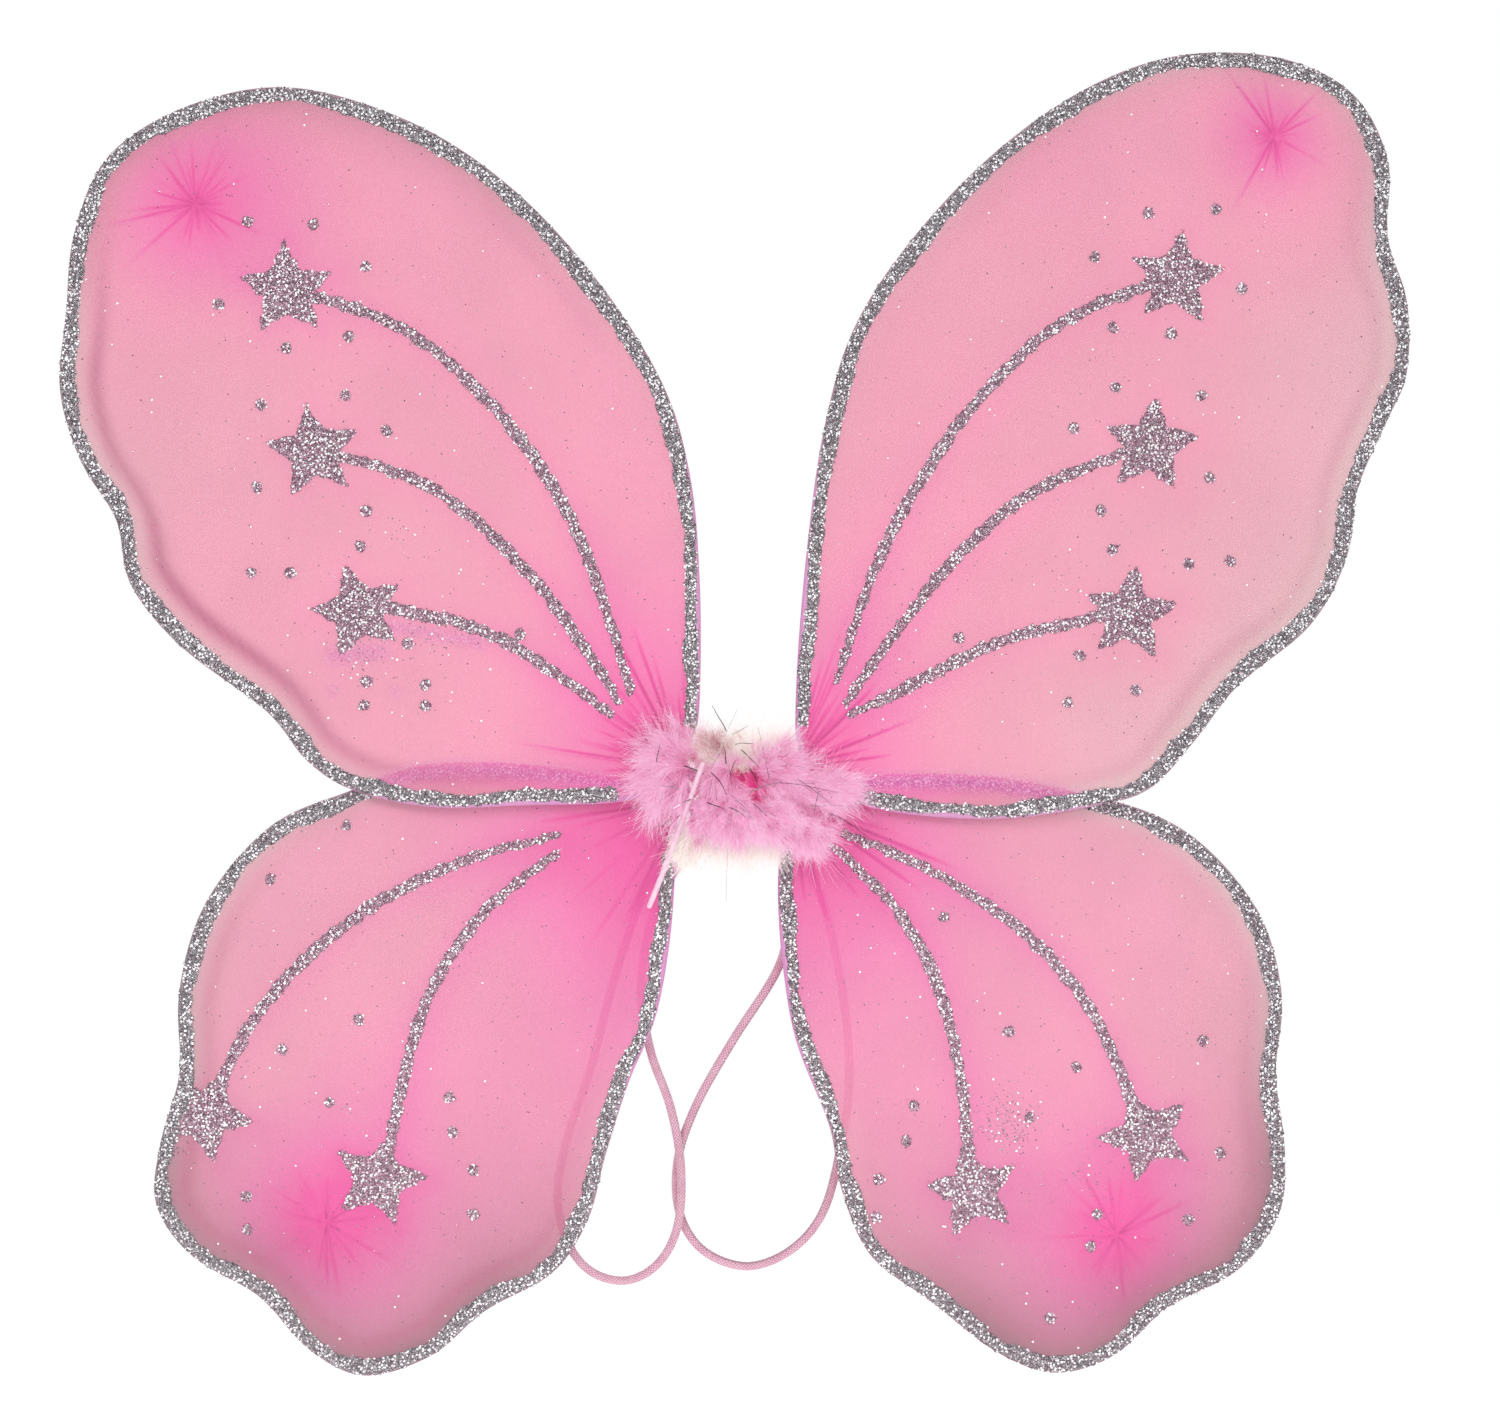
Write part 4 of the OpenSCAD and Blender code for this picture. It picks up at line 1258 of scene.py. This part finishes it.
# Each tuft of feathers: the body it is on (none where it lies between two), middle, half sizes, number
# of locks, barbs in a lock, shortest and longest barb, and how it is combed: how far outward and how far
# round, and about which x and z
BOA_TUFTS = {
    "left": ("upper_left_wing", (-22.5, -13.8, 5), (6.5, 1.8, 9), 210, 38, (5, 12),
             (0.9, 0.15, (-16, 5))),
    "right": ("upper_right_wing", (27, -14.3, -1.5), (8, 1.8, 3.6), 170, 38, (5, 12),
              (0.9, 0.0, (8, -3))),
    "right_low": ("upper_right_wing", (23.5, -14.3, -17), (4.5, 1.8, 3), 100, 36, (3.5, 8),
                  (0.6, 0.6, (25, -9))),
    "knot": ("upper_right_wing", (26.5, -14, -9), (2.6, 1, 1.6), 60, 30, (1.5, 3.5),
             (0.2, 0.4, (27, -9.5))),
    "middle": ("hub", (3, -18.3, -10), (15, 3.0, 5), 320, 40, (4, 8), (0.7, 0.25, (2, 6))),
    "crest": (None, (13, -16.5, 5), (6.5, 2.2, 6), 130, 38, (4, 10), (0.7, -0.3, (6, 1))),
    "corner": ("hub", (-16, -14.5, -18.5), (3.5, 1.6, 4), 60, 32, (4, 9), (0.8, 0.0, (-9, -8))),
    "bridge": ("hub", (-5, -16.8, 2), (8, 2, 5.5), 84, 34, (4, 9), (0.4, 0.5, (0, 3))),
    "brown": ("hub", (-6.5, -16.2, 12.5), (5.5, 2, 4), 48, 20, (3, 10), (0.6, 0.2, (-3, 4)))}
# The hole between the feathers where the binding shows, and the crevice where the boa's end turns
# back: x and z of the middle, half the length and width, and how far the length leans down to the right
PARTINGS = {"binding": (3.4, 2.9, 4.8, 2.6, math.radians(40)),
            "crevice": (26.5, -9, 4.2, 2.4, math.radians(15))}
# The widths of a barb, of one that strays, of the undyed fluff's and of a strand of tinsel
BARB_W, WISP_W, CREAM_W, STRAND_W = 0.13, 0.1, 0.11, 0.4


def clear_of_gaps(roots, ways, lengths, tone):
    """Leaves out the barbs that would lie over the tie's free end or over a parting."""
    tail = smooth_curve(TIE_TAIL_ROUTE, 6)[:, [0, 2]]
    clear = np.ones(len(roots), bool)
    for part in (0.0, 0.35, 0.7, 1.0):
        spot = roots + ways * (lengths * part)[:, None]
        clear &= (distance_to(spot[:, [0, 2]], tail) > 1.7) | (spot[:, 1] > -16.2)
        for x, z, half_l, half_w, lean in PARTINGS.values():
            right, up = spot[:, 0] - x, spot[:, 2] - z
            along = (math.cos(lean) * right - math.sin(lean) * up) / half_l
            across = (math.sin(lean) * right + math.cos(lean) * up) / half_w
            clear &= along ** 2 + across ** 2 > 1
    return roots[clear], ways[clear], lengths[clear], tone[clear]


def spread_lock(base, way, per_lock, loose, spread, source):
    """Each lock's base and way become those of its barbs."""
    roots = np.repeat(base, per_lock, 0) + source.normal(0, loose, (len(base) * per_lock, 3))
    ways = unit(np.repeat(way, per_lock, 0) + source.normal(0, spread, roots.shape))
    tone = np.repeat(source.uniform(0, 1, len(base)), per_lock)
    return roots, ways, clamp(tone + source.normal(0, 0.12, len(tone)))


def add_tuft(part, shader, stands_for=()):
    """Locks of barbs that are combed out from, and round, a point of the boa."""
    source = draw("boa_" + part)
    body, middle, half, number, per_lock, reach, (outward, around, eye) = BOA_TUFTS[part]
    offset = np.clip(source.normal(0, 0.62, (number, 3)), -1.6, 1.6)
    base = np.array(middle) + offset * half
    radial = base[:, [0, 2]] - eye
    far = np.linalg.norm(radial, axis=1, keepdims=True)
    radial = radial / np.maximum(far, 3)
    comb = outward * radial + around * np.column_stack([-radial[:, 1], radial[:, 0]])
    comb += source.normal(0, 0.3, comb.shape)
    way = unit(np.column_stack([comb[:, 0], source.normal(-0.12, 0.2, number), comb[:, 1]]))
    roots, ways, tone = spread_lock(base, way, per_lock, 0.75, 0.2, source)
    tone = tone * (0.15 if part == "knot" else np.repeat(clamp(0.35 + far[:, 0] / 7), per_lock))
    lengths = np.repeat(source.uniform(*reach, number), per_lock) * source.uniform(0.5, 1.2, len(roots))
    if part != "knot":
        roots, ways, lengths, tone = clear_of_gaps(roots, ways, lengths, tone)
    name = f"boa_{part}_down"
    return barbs(name, roots, ways, lengths, BARB_W, 0.55, tone, source, body, shader, stands_for)


def add_wisps(part, count, shader):
    """Single long barbs that stray from an end of the boa over the wings."""
    source = draw("wisps_" + part)
    body, middle, half = BOA_TUFTS[part][:3]
    turn = source.uniform(0, 2 * np.pi, count)
    way = unit(np.column_stack([np.cos(turn), source.normal(-0.1, 0.1, count), np.sin(turn)]))
    roots = np.array(middle) + way * half * 0.8
    barbs(f"boa_{part}_wisps", roots, way, source.uniform(6, 18, count), WISP_W, 0.35,
          source.uniform(0.6, 1, count), source, body, shader)


def add_core(shader):
    """The dense down close round the boa's cord."""
    source = draw("boa_core")
    core = resample(smooth_curve(BOA_CORE, 8), 1.0)
    points, faces = tube(core, 3.2 + 0.5 * np.sin(np.arange(len(core)) * 0.9), 20)[:2]
    points = points + source.normal(0, 0.4, points.shape)
    make("boa_middle_core", points, faces, shader, "marabou", "hub",
         outward=np.full(len(points), 0.2), lock=source.uniform(0.2, 0.7, len(points)))


# The undyed fluff above and below the boa: ends of x, height of the roots, way up, locks, longest barb
CREAM = {"top": ((-12, 17), 8, 1, 120, 18), "bottom": ((-19, 15), -19, -1, 90, 12)}


def add_cream(shader):
    source, per_lock = draw("boa_cream"), 24
    for name, (ends, z, up, count, longest) in CREAM.items():
        base = np.column_stack([source.uniform(*ends, count), source.uniform(-16, -12.8, count),
                                z + source.normal(0, 2.2, count)])
        way = unit(np.column_stack([source.normal(0, 0.4, count), source.normal(0, 0.2, count),
                                    up * np.ones(count)]))
        roots, ways, tone = spread_lock(base, way, per_lock, 0.9, 0.26, source)
        lengths = np.repeat(source.uniform(5, longest, count), per_lock)
        lengths = lengths * source.uniform(0.6, 1.1, len(roots))
        barbs(f"boa_cream_{name}", roots, ways, lengths, CREAM_W, 0.3, tone, source, "hub", shader)


def add_crest(shader):
    """The tuft that lies half over the upper right wing's root."""
    crest = add_tuft("crest", shader)
    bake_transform(crest)


def add_boa(pink, brownish, cream):
    add_core(pink)
    add_tuft("middle", pink, ["boa_middle", "boa_cord"])
    add_tuft("left", pink, ["boa_end_left"])
    add_tuft("right", pink, ["boa_end_right"])
    add_tuft("right_low", pink)
    add_tuft("knot", pink)
    add_crest(pink)
    for part, shader in (("bridge", pink), ("corner", cream), ("brown", brownish)):
        add_tuft(part, shader)
    for part, count in (("left", 260), ("right", 200), ("right_low", 90)):
        add_wisps(part, count, pink)
    add_cream(cream)


def tinsel():
    """Metallised film cut into strands, painted lighter and darker in patches along each strand: painted
    reflections of its kinks.
    """
    s = Shader("tinsel", roughness=0.22, metallic=0.95)
    tone = s.math("MULTIPLY_ADD", s.noise(0.7, 2), 0.5, s.attribute("lock"))
    s.paint(tone, [(0.25, (58, 54, 52)), (0.55, (112, 108, 106)), (0.85, (196, 192, 196)),
                   (1.0, (252, 250, 252))])
    s.bump(s.noise(2.0, 2), 0.06, 0.5)
    return s


# Strands of tinsel that lie each their own way: the root and the tip of each, by body
TINSEL = {
    "hub": [((-3.9, -18, 18), (-8.4, -19, 28.5)), ((-4.4, -18, 16.4), (0.1, -19, 27.4)),
            ((10.5, -20.5, 2.5), (6.6, -18, 22.4)), ((-2, -18, 17), (4, -19, 20.5)),
            ((1, -19, 12), (7.5, -20, 7)), ((-1, -19, 14), (5, -20, 14.5)),
            ((-3.7, -17.5, -21.4), (-3.4, -17.5, -37.4)), ((-6.4, -18, -20), (-12.4, -18, -27.4)),
            ((-8.9, -21.5, 4.5), (-2.9, -22.5, -1.5)), ((-2, -22, 5.4), (0, -23, -1.4)),
            ((-3, -22.5, 8), (-1.5, -23.5, -3)), ((4, -22.5, -2.4), (13, -22, 2.5)),
            ((14, -22, 1), (34, -20, -1)), ((-6, -21, 11), (-10, -20, 4))],
    "upper_left_wing": [((-22.8, -18.5, -2.5), (-18.9, -19.5, -7.5)), ((-25, -18.5, 4), (-17, -19, -4)),
                        ((-16, -18, 14), (-11, -18.5, 5))],
    "upper_right_wing": [((31, -18, -9.5), (48, -16, -16.4)), ((24, -19, -7), (38, -18.5, -6)),
                         ((20, -20, 2), (32, -19, -4))]}


def add_tinsel(shader):
    source = draw("tinsel")
    for body, listed in TINSEL.items():
        roots, tips = np.array(listed, float).swapaxes(0, 1)
        extra = 14
        spot = source.uniform([-12, -23.5, -12], [14, -21, 8], (extra, 3))
        if body != "hub":
            spot[:, 0] += -18 if "left" in body else 20
            spot[:, 1] += 4.5
        roots = np.vstack([roots, spot])
        tips = np.vstack([tips, spot + unit(source.normal(0, 1, (extra, 3)) * [1, 0.3, 1]) * 7])
        lengths = np.linalg.norm(tips - roots, axis=1)
        barbs(f"tinsel_{body.split('_wing')[0]}", roots, unit(tips - roots), lengths, STRAND_W, 0.12,
              source.uniform(0, 0.7, len(roots)), source, body, shader)


add_boa(down("marabou_down", PINK, 0.75, 0.5, 0.25, outer=0.55),
        down("brown_down", BROWN, 0.8, 0.4, 0.1), down("cream_down", CREAMY, 0.8, 0.5, 0.12))
add_tinsel(tinsel())
